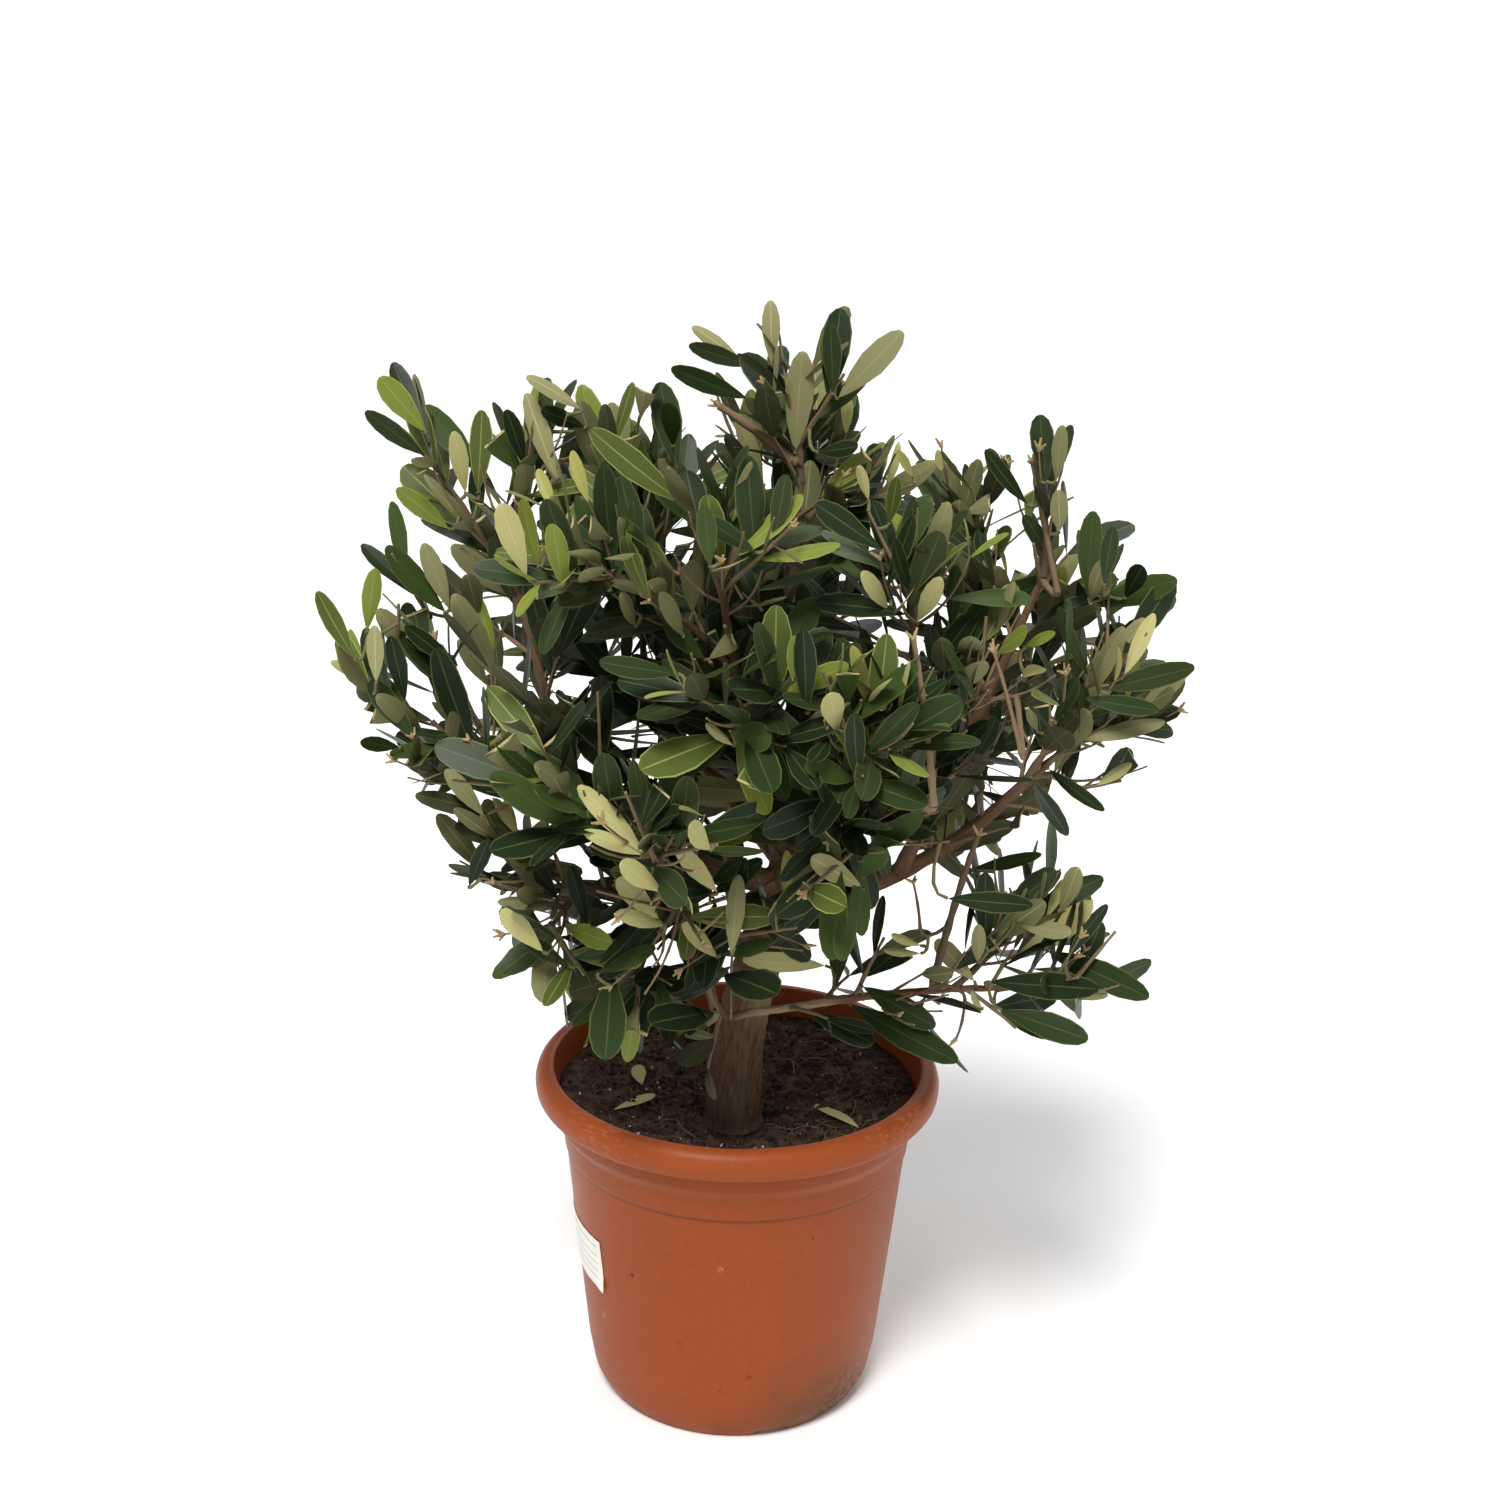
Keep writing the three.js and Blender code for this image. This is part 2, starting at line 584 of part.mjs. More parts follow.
/** A leaf's corners, and the points of it that have to stay inside the mass's space. */
function leafAt(node, direction, ahead, size) {
  const length = LEAF_LENGTH * size;
  const face = ahead.clone().addScaledVector(direction, -ahead.dot(direction)).normalize();
  const across = new THREE.Vector3().crossVectors(face, direction);
  const at = (along, width, lift) => node.clone().addScaledVector(direction, along)
    .addScaledVector(across, width).addScaledVector(face, lift);
  const half = (LEAF_WIDTH * size) / 2;
  const widest = LEAF_WIDEST * length;
  const thickest = LEAF_THICKEST * length;
  const corners = [
    at(-LEAF_ROOT_DEPTH, 0, 0), at(widest, half, 0), at(length, 0, 0), at(widest, -half, 0),
    at(thickest, 0, LEAF_THICKNESS / 2), at(thickest, 0, -LEAF_THICKNESS / 2),
  ];
  const blade = LEAF_STATIONS.flatMap((along) => {
    const width = half * Math.min(along / LEAF_WIDEST, (1 - along) / (1 - LEAF_WIDEST));
    return BLADE_SIDES.map((side) => at(along * length, side * width, 0));
  });
  return { corners, outline: [...corners.slice(1, 4), ...blade], blade };
}

/** Eight faces between a leaf's four edge corners and the middles of its two sides. */
function leafSolid({ corners }) {
  const geometry = new THREE.BufferGeometry();
  geometry.setFromPoints(corners);
  geometry.setIndex([
    0, 4, 1, 1, 4, 2, 2, 4, 3, 3, 4, 0,
    0, 1, 5, 1, 2, 5, 2, 3, 5, 3, 0, 5,
  ]);
  return toSolid(geometry);
}

function twigSolid({ path, radius }) {
  const taper = (share) => THREE.MathUtils.lerp(TWIG_THICK_FOOT, TWIG_THIN_TIP, share);
  const radiusAt = (share) => radius * taper(share);
  return toSolid(limbGeometry(path, radiusAt, TWIG_SIDES, path.points.length - 1));
}

/** One mass of foliage: its stem, twigs and leaves fused, and cut clear of its bough. */
function massGeometry(mass, masses, limbs) {
  const fits = (point) => inSpace(point, mass, masses, limbs);
  const twigs = growTwigs(mass, seeded(mass.seed), fits);
  const drawLeaf = seeded(mass.seed + LEAF_SEED_STEP);
  const leaves = [];
  for (const twig of twigs) growLeaves(twig, twigs, leaves, drawLeaf, fits);
  const solids = [...twigs.map(twigSolid), ...leaves.map(leafSolid)];
  const fused = wasm.Manifold.union(solids);
  const rooms = Object.values(limbs).map((limb) => limb.room);
  const clearOfLimbs = largest(wasm.Manifold.difference([fused, ...rooms]));
  return toGeometry(clearOfLimbs.simplify(SMALLEST_DETAIL));
}

const tree = new THREE.Group();
tree.add(meshOf('pot', potGeometry(), TERRACOTTA));
tree.add(meshOf('soil', soilGeometry(), SOIL));
tree.add(meshOf('label', labelGeometry(), LABEL));

const limbs = makeLimbs();
for (const limb of Object.values(limbs)) {
  tree.add(meshOf(limb.node, toGeometry(limb.solid), BARK));
}

const masses = Object.values(MASSES).map((row) => makeStem(row, limbs));
Object.keys(MASSES).forEach((name, i) => {
  tree.add(meshOf(`foliage_${name}`, massGeometry(masses[i], masses, limbs), LEAF));
});

export default tree;
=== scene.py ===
# %% [markdown]
# # A young olive tree in a nursery pot
# The solids of the part come in first and stay where they are. Each one is then
# replaced by a finer piece that has its size and place: a moulded plastic pot, peat,
# a paper label, bark on trunk and boughs, and twigs with opposite pairs of leaves.
# Lengths are worked out in millimetres, as on the drawing, and turned into metres
# only where a mesh is made.

# %% Start from the fixed solids
import json
import math
from itertools import product
import bpy
import bmesh
import numpy as np
from mathutils import Matrix, Vector, noise

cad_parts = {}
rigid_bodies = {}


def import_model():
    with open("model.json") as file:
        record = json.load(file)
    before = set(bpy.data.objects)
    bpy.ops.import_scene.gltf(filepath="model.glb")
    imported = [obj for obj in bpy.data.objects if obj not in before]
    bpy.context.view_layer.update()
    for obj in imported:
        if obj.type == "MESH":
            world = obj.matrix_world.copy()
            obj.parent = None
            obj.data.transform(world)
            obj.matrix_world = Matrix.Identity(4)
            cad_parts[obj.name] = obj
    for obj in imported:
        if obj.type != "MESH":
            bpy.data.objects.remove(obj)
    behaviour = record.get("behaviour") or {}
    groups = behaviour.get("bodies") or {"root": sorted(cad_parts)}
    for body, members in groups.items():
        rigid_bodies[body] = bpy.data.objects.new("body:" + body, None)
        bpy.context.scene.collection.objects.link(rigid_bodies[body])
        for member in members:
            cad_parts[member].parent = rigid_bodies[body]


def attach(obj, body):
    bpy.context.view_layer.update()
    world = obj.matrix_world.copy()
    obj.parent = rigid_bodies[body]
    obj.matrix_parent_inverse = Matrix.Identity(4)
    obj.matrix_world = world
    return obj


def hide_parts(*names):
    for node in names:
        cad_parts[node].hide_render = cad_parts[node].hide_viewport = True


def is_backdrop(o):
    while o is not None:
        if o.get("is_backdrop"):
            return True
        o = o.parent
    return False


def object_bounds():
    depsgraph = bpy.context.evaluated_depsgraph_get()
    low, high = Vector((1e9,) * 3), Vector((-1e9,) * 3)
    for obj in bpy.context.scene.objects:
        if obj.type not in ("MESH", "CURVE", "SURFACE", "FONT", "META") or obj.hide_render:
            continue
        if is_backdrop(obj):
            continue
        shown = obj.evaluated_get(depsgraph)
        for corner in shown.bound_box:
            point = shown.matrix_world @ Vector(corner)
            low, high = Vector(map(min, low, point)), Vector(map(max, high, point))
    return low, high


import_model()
solid_low, solid_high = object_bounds()
MM = 0.001


def new_object(name, data):
    """An object made from its data, and put in the scene."""
    made = bpy.data.objects.new(name, data)
    bpy.context.collection.objects.link(made)
    return made


print("solids reach from", [round(v, 3) for v in solid_low], "to", [round(v, 3) for v in solid_high])

# %% [markdown]
# ## The viewer
# The tree was looked at from a little above the rim, with a long lens, so the pot's
# mouth shows as a shallow ellipse. The camera's axes are written out as a matrix,
# because the viewer's head was tilted by about one degree.

# %% Camera
CAMERA_AT = (0.0066, -1.29187, 0.83980)
CAMERA_RIGHT = (0.99973, 0.007495, 0.021967)
CAMERA_UP = (-0.02321, 0.32284, 0.94617)
FOCAL_LENGTH = 57.14
SENSOR_WIDTH = 36

right = Vector(CAMERA_RIGHT).normalized()
up = (Vector(CAMERA_UP) - Vector(CAMERA_UP).dot(right) * right).normalized()
back = right.cross(up)
lens = bpy.data.cameras.new("viewer")
lens.lens = FOCAL_LENGTH
lens.sensor_width = SENSOR_WIDTH
lens.sensor_fit = "HORIZONTAL"
camera = new_object("viewer", lens)
camera.matrix_world = Matrix.Translation(CAMERA_AT) @ Matrix((right, up, back)).transposed().to_4x4()
bpy.context.scene.camera = camera
print("camera looks down by", round(math.degrees(math.asin(back.z)), 1), "degrees")

# %% [markdown]
# ## Studio
# A pale floor and soft light give the even look of a product picture. The main
# light falls from high in front and a little from the left, so leaves are bright on
# top and the inside of the crown lies in shade. Weak lamps on the right and behind
# open that shade.

# %% Floor, lamps and surrounding light
FLOOR_SIZE = 12
FLOOR_COLOUR = (250, 250, 249)
BACKDROP_COLOUR = (250, 250, 250)
LAMP_AIM = Vector((0, 0, 0.3))
AMBIENT = 0.43
BACKDROP = 1.1
MAIN_STRENGTH = 2.95
MAIN_SOFTNESS = math.radians(20)
MAIN_WAY = Vector((0.45, 1.42, -2.3))


def plain_material(name, colour, roughness, shine=0.5):
    """A material of one colour, given as three numbers from 0 to 255 as a screen shows it."""
    material = bpy.data.materials.new(name)
    material.use_nodes = True
    surface = material.node_tree.nodes["Principled BSDF"]
    surface.inputs["Base Color"].default_value = screen_colour(colour)
    surface.inputs["Roughness"].default_value = roughness
    surface.inputs["Specular IOR Level"].default_value = shine
    return material


def screen_colour(colour):
    """Numbers as a screen shows them, turned into amounts of light by the usual curve of screens."""
    shares = [c / 255 for c in colour]
    light = [c / 12.92 if c <= 0.04045 else ((c + 0.055) / 1.055) ** 2.4 for c in shares]
    return (*light, 1)


def lamp(name, place, size, watts):
    """A square lamp that faces the middle of the crown."""
    light = bpy.data.lights.new(name, "AREA")
    light.size = size
    light.energy = watts
    holder = new_object(name, light)
    holder.location = place
    towards = LAMP_AIM - holder.location
    holder.rotation_euler = towards.to_track_quat("-Z", "Y").to_euler()


floor_mesh = bpy.data.meshes.new("floor")
half = FLOOR_SIZE / 2
floor_mesh.from_pydata([(-half, -half, 0), (half, -half, 0), (half, half, 0), (-half, half, 0)],
                       [], [(0, 1, 2, 3)])
floor_mesh.materials.append(plain_material("pale floor", FLOOR_COLOUR, 0.8))
floor = new_object("floor", floor_mesh)
floor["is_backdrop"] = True

main_light = bpy.data.lights.new("main light", "SUN")
main_light.energy = MAIN_STRENGTH
main_light.angle = MAIN_SOFTNESS
holder = new_object("main light", main_light)
holder.rotation_euler = MAIN_WAY.to_track_quat("-Z", "Y").to_euler()
lamp("fill lamp", place=(1.7, -1.3, 1.4), size=1.8, watts=5)
lamp("back lamp", place=(0.5, 1.8, 1.9), size=1.6, watts=16)
world = bpy.data.worlds.new("studio")
world.use_nodes = True
air = world.node_tree
seen = air.nodes.new("ShaderNodeLightPath")
strength = air.nodes.new("ShaderNodeMapRange")
strength.inputs["To Min"].default_value = AMBIENT
strength.inputs["To Max"].default_value = BACKDROP
air.links.new(seen.outputs["Is Camera Ray"], strength.inputs["Value"])
air.links.new(strength.outputs["Result"], air.nodes["Background"].inputs["Strength"])
air.nodes["Background"].inputs["Color"].default_value = screen_colour(BACKDROP_COLOUR)
bpy.context.scene.world = world
bpy.context.scene.view_settings.view_transform = "Standard"
print("studio: 3 lights over a floor of", FLOOR_SIZE, "m")

# %% [markdown]
# ## A way to write finishes
# A finish that changes over a surface is a small sum: a base, plus stains, minus
# wear. Blender draws such sums as nodes. The class below wraps a node's output, so
# that the sum can be written with ordinary signs, and every sign adds its node.

# %% Finishes as sums
def sign(operation, swapped=False):
    """What a plus, minus or times beside an amount does: it adds a node of arithmetic."""
    def act(amount, other):
        first, second = (other, amount) if swapped else (amount, other)
        return amount.finish.node("ShaderNodeMath", {0: first, 1: second}, operation=operation)
    return act


class Amount:
    """An output of a node that plus, minus and times work on."""

    __add__ = sign("ADD")
    __radd__ = sign("ADD", swapped=True)
    __sub__ = sign("SUBTRACT")
    __rsub__ = sign("SUBTRACT", swapped=True)
    __mul__ = sign("MULTIPLY")
    __rmul__ = sign("MULTIPLY", swapped=True)

    def __init__(self, finish, socket):
        self.finish = finish
        self.socket = socket

    def above(self, low, high):
        """0 below low, 1 above high, and an even rise between them."""
        values = {"Value": self, "From Min": low, "From Max": high}
        return self.finish.node("ShaderNodeMapRange", values, "Result", clamp=True)


def feed(tree, socket, value):
    """Links an amount or an output to a socket, or writes a plain value there."""
    source = value.socket if isinstance(value, Amount) else value
    if isinstance(source, bpy.types.NodeSocket):
        tree.links.new(source, socket)
    else:
        socket.default_value = source


def add_node(tree, kind, values, output, settings):
    """An output of a new node, with settings, and with values or links in its sockets."""
    made = tree.nodes.new(kind)
    for name, setting in settings.items():
        setattr(made, name, setting)
    for name, value in values.items():
        feed(tree, made.inputs[name], value)
    return made.outputs[output]


class Finish:
    """A material whose surface is written as sums."""

    def __init__(self, name, colour, roughness, shine=0.5):
        self.material = plain_material(name, colour, roughness, shine)
        self.tree = self.material.node_tree
        self.surface = self.tree.nodes["Principled BSDF"]
        self.place = self.node("ShaderNodeTexCoord", {}, "Object")

    def node(self, kind, values, output=0, **settings):
        return Amount(self, add_node(self.tree, kind, values, output, settings))

    def grain(self, scale, detail=4, stretch=(1, 1, 1), place=None):
        """Cloudy grain from 0 to 1, with features of 1/scale metres."""
        values = {"Vector": place or self.place, "Scale": stretch}
        mapped = self.node("ShaderNodeMapping", values, "Vector")
        values = {"Vector": mapped, "Scale": scale, "Detail": detail}
        return self.node("ShaderNodeTexNoise", values, "Fac")

    def near(self, point, inner, outer):
        """1 within inner metres of a point, falling to 0 at outer."""
        values = {0: self.place, 1: point}
        distance = self.node("ShaderNodeVectorMath", values, "Value", operation="DISTANCE")
        return 1 - distance.above(inner, outer)

    def height(self):
        return self.node("ShaderNodeSeparateXYZ", {0: self.place}, "Z")

    def tint(self, share, first, second):
        """Two colours mixed: a share of 0 is the first, a share of 1 the second."""
        first = first if isinstance(first, Amount) else screen_colour(first)
        second = second if isinstance(second, Amount) else screen_colour(second)
        return self.node("ShaderNodeMix", {"Factor": share, 6: first, 7: second}, 2, data_type="RGBA")

    def bump(self, height, strength, distance):
        values = {"Height": height, "Strength": strength, "Distance": distance}
        self.paint(Normal=self.node("ShaderNodeBump", values, "Normal"))

    def paint(self, **amounts):
        for name, amount in amounts.items():
            feed(self.tree, self.surface.inputs[name.replace("_", " ")], amount)


print("finishes can be written as sums")

# %% [markdown]
# ## Pieces
# A finished piece stands for one or more solids: it rides on the part's only body.

# %% Make a mesh a piece of the tree
def written(shape, name):
    """A shape that was built corner by corner, as a plain mesh."""
    mesh = bpy.data.meshes.new(name)
    shape.to_mesh(mesh)
    shape.free()
    return mesh


def join_rings(shape, rings):
    """Joins rings of corners into a closed skin, with a face at each end."""
    for low, high in zip(rings, rings[1:]):
        for i in range(len(low)):
            k = (i + 1) % len(low)
            shape.faces.new([low[i], low[k], high[k], high[i]])
    shape.faces.new(rings[0][::-1])
    shape.faces.new(rings[-1])


def finished(piece, finish, *solids):
    """Joins a piece to the part, in place of its solids."""
    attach(piece, "root")
    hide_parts(*solids)
    print(piece.name, "has", len(piece.data.polygons), "faces")


def baked(source, name):
    """The result of an object's modifiers, as a plain mesh in a new object."""
    graph = bpy.context.evaluated_depsgraph_get()
    mesh = bpy.data.meshes.new_from_object(source.evaluated_get(graph))
    source.modifiers.clear()
    bpy.data.objects.remove(source)
    mesh.name = name
    return new_object(name, mesh)


def smooth(mesh, edge_degrees):
    """Smooth shading, but for edges that turn by more than an angle."""
    mesh.shade_smooth()
    mesh.set_sharp_from_angle(angle=math.radians(edge_degrees))


# %% [markdown]
# ## The pot
# A nursery pot is blown or pressed from one skin of plastic about 4 mm thick. Its
# wall widens in steps, so that pots stack, and the rim turns out and down to make a
# grip. All of it is round, so it is an outline turned about the pot's middle. Each
# corner of the outline is rounded a little, as a mould leaves it.

# %% Outline of the pot
POT_FLOOR = 8
POT_TURNS = 144
MOULD_ROUNDING = 1.6
SAME_PLACE = 1e-6
POT_OUTSIDE = [(77, 0), (80.5, 4), (84.5, 12), (88, 30), (95.5, 100), (101.5, 157),
               (102.5, 158.5), (104, 172), (108.5, 178), (110, 190), (111.5, 203)]
POT_RIM = [(114.5, 203), (114.5, 190.8), (117, 190), (119.3, 193), (120, 199),
           (118.5, 204), (115.5, 207), (112, 208), (109, 207.5)]
POT_INSIDE = [(107, 196), (105.5, 182), (104.5, 179), (101, 173), (98.5, 157),
              (92.5, 100), (85, 30), (81.5, 14), (76, POT_FLOOR)]


def rounded(outline, reach):
    """The same outline with each corner cut to three points within reach of it."""
    points = [np.array(p, float) for p in outline]
    soft = [points[0]]
    for before, corner, after in zip(points, points[1:], points[2:]):
        legs = [before - corner, after - corner]
        ends = []
        for leg in legs:
            length = np.linalg.norm(leg)
            ends.append(corner + leg / length * min(reach, 0.4 * length))
        soft += [ends[0], (ends[0] + 2 * corner + ends[1]) / 4, ends[1]]
    return soft + [points[-1]]


def turned(name, outline, turns):
    """A closed mesh made by turning an outline that starts and ends on the axis."""
    mesh = bmesh.new()
    rings = []
    for radius, height in outline:
        if radius < SAME_PLACE:
            rings.append([mesh.verts.new((0, 0, height * MM))])
            continue
        angles = [2 * math.pi * i / turns for i in range(turns)]
        rings.append([mesh.verts.new((radius * MM * math.cos(a), radius * MM * math.sin(a),
                                      height * MM)) for a in angles])
    for low, high in zip(rings, rings[1:]):
        for i in range(turns):
            corners = [low[i % len(low)], low[(i + 1) % len(low)],
                       high[(i + 1) % len(high)], high[i % len(high)]]
            mesh.faces.new(list(dict.fromkeys(corners)))
    bmesh.ops.recalc_face_normals(mesh, faces=mesh.faces)
    return written(mesh, name)


pot_outline = [(0, 0), *rounded(POT_OUTSIDE + POT_RIM + POT_INSIDE, MOULD_ROUNDING), (0, POT_FLOOR)]
pot_body = new_object("pot_body", turned("pot_body", pot_outline, POT_TURNS))
print("pot outline has", len(pot_outline), "points")

# %% [markdown]
# Water leaves the pot through four holes, and four shallow channels lead it out
# under the foot. One channel ends a little to the right of the front, where it
# shows as a dark notch at the floor. The channels are wedges that are cut away.

# %% Drain channels and holes
CHANNEL_COUNT = 4
CHANNEL_TURN = math.radians(18)
CHANNEL_HALF_WIDTH = 14
CHANNEL_SLOPE = 4
CHANNEL_DEPTH = 4.5
CHANNEL_START = 46
CHANNEL_END = 91
DRAIN_RADIUS = 6
DRAIN_AT = 60
DRAIN_SIDES = 32
POT_EDGE_DEGREES = 32


def drain_cutter():
    """Wedges and round bars in one mesh, to cut the underside with."""
    mesh = bmesh.new()
    for i in range(CHANNEL_COUNT):
        turn = CHANNEL_TURN + i * 2 * math.pi / CHANNEL_COUNT
        out = Vector((math.sin(turn), -math.cos(turn), 0))
        side = Vector((-out.y, out.x, 0))
        rings = []
        for distance in (CHANNEL_START, CHANNEL_END):
            low, high = CHANNEL_HALF_WIDTH, CHANNEL_HALF_WIDTH - CHANNEL_SLOPE
            corners = [(-low, -CHANNEL_DEPTH), (low, -CHANNEL_DEPTH),
                       (high, CHANNEL_DEPTH), (-high, CHANNEL_DEPTH)]
            rings.append([mesh.verts.new((out * distance + side * w + Vector((0, 0, z))) * MM)
                          for w, z in corners])
        join_rings(mesh, rings)
        place = Matrix.Translation(out * DRAIN_AT * MM)
        bmesh.ops.create_cone(mesh, cap_ends=True, segments=DRAIN_SIDES, radius1=DRAIN_RADIUS * MM,
                              radius2=DRAIN_RADIUS * MM, depth=4 * POT_FLOOR * MM, matrix=place)
    bmesh.ops.recalc_face_normals(mesh, faces=mesh.faces)
    return new_object("drain_cutter", written(mesh, "drain_cutter"))


cutter = drain_cutter()
cut = pot_body.modifiers.new("drains", "BOOLEAN")
cut.operation = "DIFFERENCE"
cut.solver = "EXACT"
cut.use_self = True
cut.object = cutter
pot = baked(pot_body, "pot_shell")
bpy.data.objects.remove(cutter)
smooth(pot.data, POT_EDGE_DEGREES)
print("pot is", len(pot.data.polygons), "faces")

# %% [markdown]
# The plastic is coloured through and dull, and its gloss changes a little in broad patches. Real pots
# carry clues of use: pale scuffs on the rim, dark flecks of peat that stuck to the wall, a grey smudge
# and a dirty edge at the foot. Each is a mask round its own place, broken up by grain.

# %% Terracotta-coloured plastic
def outline_radius(outline, height):
    """Radius of an upward outline at a height."""
    radii, heights = zip(*outline)
    return float(np.interp(height, heights, radii))


def wall_point(turn_degrees, height):
    """A point on the outside of the wall, in metres."""
    radius = outline_radius(POT_OUTSIDE, height)
    turn = math.radians(turn_degrees)
    return (radius * math.sin(turn) * MM, -radius * math.cos(turn) * MM, height * MM)


# Turn from the front in degrees, height, radius in millimetres and colour
WALL_MARKS = [
    (-37, 106.5, 1.7, (64, 34, 24)), (-4, 124, 2.4, (190, 112, 70)), (7, 48, 2.6, (130, 44, 26)),
    (55, 143, 1.5, (60, 32, 24)), (-4, 38, 1.8, (128, 54, 30)), (-19, 68.5, 2.6, (138, 58, 32)),
    (68, 152, 1.7, (60, 32, 24)), (27, 140.5, 1.3, (70, 40, 28)), (-56, 64, 3, (170, 100, 62)),
]
RIM_SCUFFS = [(0.092, -0.070, 0.205), (-0.078, -0.087, 0.192)]
STEP_HEIGHT = 0.157
DEEP_ORANGE, CLEAR_ORANGE, WORN_ORANGE = (137, 64, 28), (151, 73, 34), (160, 84, 44)
STEP_SHADE, SCUFFED = (84, 38, 18), (200, 134, 102)
MUD, SMUDGE, CRUST, PEAT_FLECK = (98, 58, 36), (98, 66, 38), (58, 32, 23), (58, 38, 30)

plastic = Finish("terracotta plastic", (144, 69, 32), 0.5, 0.15)
broad = plastic.grain(9, 3)
fine = plastic.grain(260, 5)
skin = plastic.tint(broad, DEEP_ORANGE, CLEAR_ORANGE)
skin = plastic.tint(fine.above(0.45, 0.8) * 0.3, skin, WORN_ORANGE)
step = plastic.height().above(STEP_HEIGHT - 0.002, STEP_HEIGHT - 0.0004)
step = step * (1 - plastic.height().above(STEP_HEIGHT + 0.0003, STEP_HEIGHT + 0.0012))
skin = plastic.tint(step * 0.5, skin, STEP_SHADE)
foot_dirt = (1 - plastic.height().above(0.002, 0.03)) * plastic.grain(40, 5).above(0.35, 0.7)
smudge = plastic.near(wall_point(36, 18), 0.014, 0.05) * plastic.grain(34, 6).above(0.26, 0.5)
crust = plastic.near(wall_point(57, 8), 0.01, 0.034) * plastic.grain(300, 8).above(0.47, 0.56)
for share, colour in ((foot_dirt * 0.4, MUD), (smudge * 0.72, SMUDGE), (crust * 0.8, CRUST)):
    skin = plastic.tint(share, skin, colour)
for turn, height, size, colour in WALL_MARKS:
    mark = plastic.near(wall_point(turn, height), 0.4 * size * MM, size * MM)
    skin = plastic.tint(mark * plastic.grain(700, 3).above(0.36, 0.5), skin, colour)
streaks = plastic.grain(170, 6, (1, 1, 5)).above(0.54, 0.66)
scuff = sum(plastic.near(place, 0.01, 0.04) for place in RIM_SCUFFS) * streaks
skin = plastic.tint(scuff * 0.3, skin, SCUFFED)
flecks = plastic.grain(420, 2).above(0.735, 0.76) * plastic.grain(14, 2).above(0.5, 0.6)
skin = plastic.tint(flecks * 0.8, skin, PEAT_FLECK)
plastic.paint(Base_Color=skin, Roughness=0.5 + foot_dirt * 0.25 + scuff * 0.15 - broad * 0.16)
plastic.bump(fine * 0.6 + plastic.grain(30, 3) * 0.4, 0.22, 0.0004)
pot.data.materials.clear()
pot.data.materials.append(plastic.material)
finished(pot, "terracotta_plastic", "pot")

# %% [markdown]
# ## Where the limbs run
# The trunk and its boughs follow smooth curves through a few measured points. The
# same curves carry the bark, the stems of the foliage and the room that leaves must
# keep from wood, so they are worked out once, here.

# %% Curves of the trunk and the boughs
SOIL_DIP_HEIGHT = 178
GAP = 0.3
TRUNK_FOOT = [-2, -23]
TRUNK_BENDS = [[-2, -23, 192], [3, -18, 246], [12, -14, 282], [23, -10, 312], [28, -5, 350]]
TRUNK_LENGTH = 175
TRUNK_RADIUS = 15.2
TRUNK_TAPER = 5
ROOT_FLARE = 3
ROOT_FLARE_REACH = 12
BOUGH_TAPER = 1.4
LIMB_LINKS = 10

# Parent, share of it where the bough leaves, points up to the tip, foot and tip radius
BOUGHS = {
    "leader": ("trunk", 1, [[28, -2, 425], [24, 0, 505], [28, 0, 560]], 9, 3.5),
    "right": ("trunk", 0.78, [[78, -14, 330], [124, -10, 356], [172, 5, 396]], 8.5, 4.5),
    "left": ("trunk", 0.86, [[-40, -30, 350], [-102, -40, 384], [-154, -40, 410]], 8, 4.2),
    "back": ("trunk", 0.8, [[22, 50, 372], [5, 115, 425]], 7, 4),
    "front_left": ("trunk", 0.7, [[-5, -62, 342], [-35, -115, 385]], 6, 3.5),
    "right_back": ("trunk", 0.9, [[82, 28, 360], [125, 48, 386], [160, 60, 422]], 7, 4),
    "up_left": ("trunk", 0.94, [[-12, -2, 415], [-52, 4, 500]], 7, 3.8),
    "front_right": ("trunk", 0.87, [[42, -58, 378], [50, -112, 428]], 6, 3.5),
    "left_low": ("trunk", 0.62, [[-40, -40, 318], [-104, -62, 348]], 6, 3.5),
    "low_right": ("left_low", 0.34, [[-20, -47, 290], [-10, -50, 261], [12, -48, 262],
                  [62, -43, 269], [110, -40, 274], [150, -36, 275]], 3.4, 3.2),
    "back_left": ("trunk", 0.92, [[-36, 50, 388], [-100, 95, 438]], 6, 3.6),
    "back_right": ("trunk", 0.68, [[70, 62, 345], [112, 112, 380]], 6, 3.5),
    "front_up": ("trunk", 0.97, [[6, -45, 415], [-10, -92, 500]], 6, 3.5),
    "right_up": ("right", 0.42, [[104, -46, 398], [88, -78, 486]], 5, 3),
    "left_up": ("left", 0.7, [[-112, -20, 440], [-128, -10, 500]], 5, 3.2),
    "right_top": ("right_back", 0.7, [[146, 30, 445], [166, 18, 505]], 5, 3.2),
}


class Limb:
    """A smooth curve through points, with a radius at each share of its run."""

    def __init__(self, points, radius_at):
        self.points = np.array(points, float)
        self.radius_at = radius_at
        self.links = np.array([self.point(i / LIMB_LINKS) for i in range(LIMB_LINKS + 1)])

    def point(self, share):
        points = self.points
        last = len(points) - 1
        first = min(int(share * last), last - 1)
        along = share * last - first
        start, end = points[first], points[first + 1]
        before = points[first - 1] if first else 2 * start - end
        after = points[first + 2] if first + 2 <= last else 2 * end - start
        leave, arrive = (end - before) / 2, (after - start) / 2
        square = 3 * (end - start) - 2 * leave - arrive
        cube = 2 * (start - end) + leave + arrive
        return start + leave * along + square * along ** 2 + cube * along ** 3

    def ahead(self, share):
        step = 0.0001
        way = self.point(min(1, share + step)) - self.point(max(0, share - step))
        return way / np.linalg.norm(way)


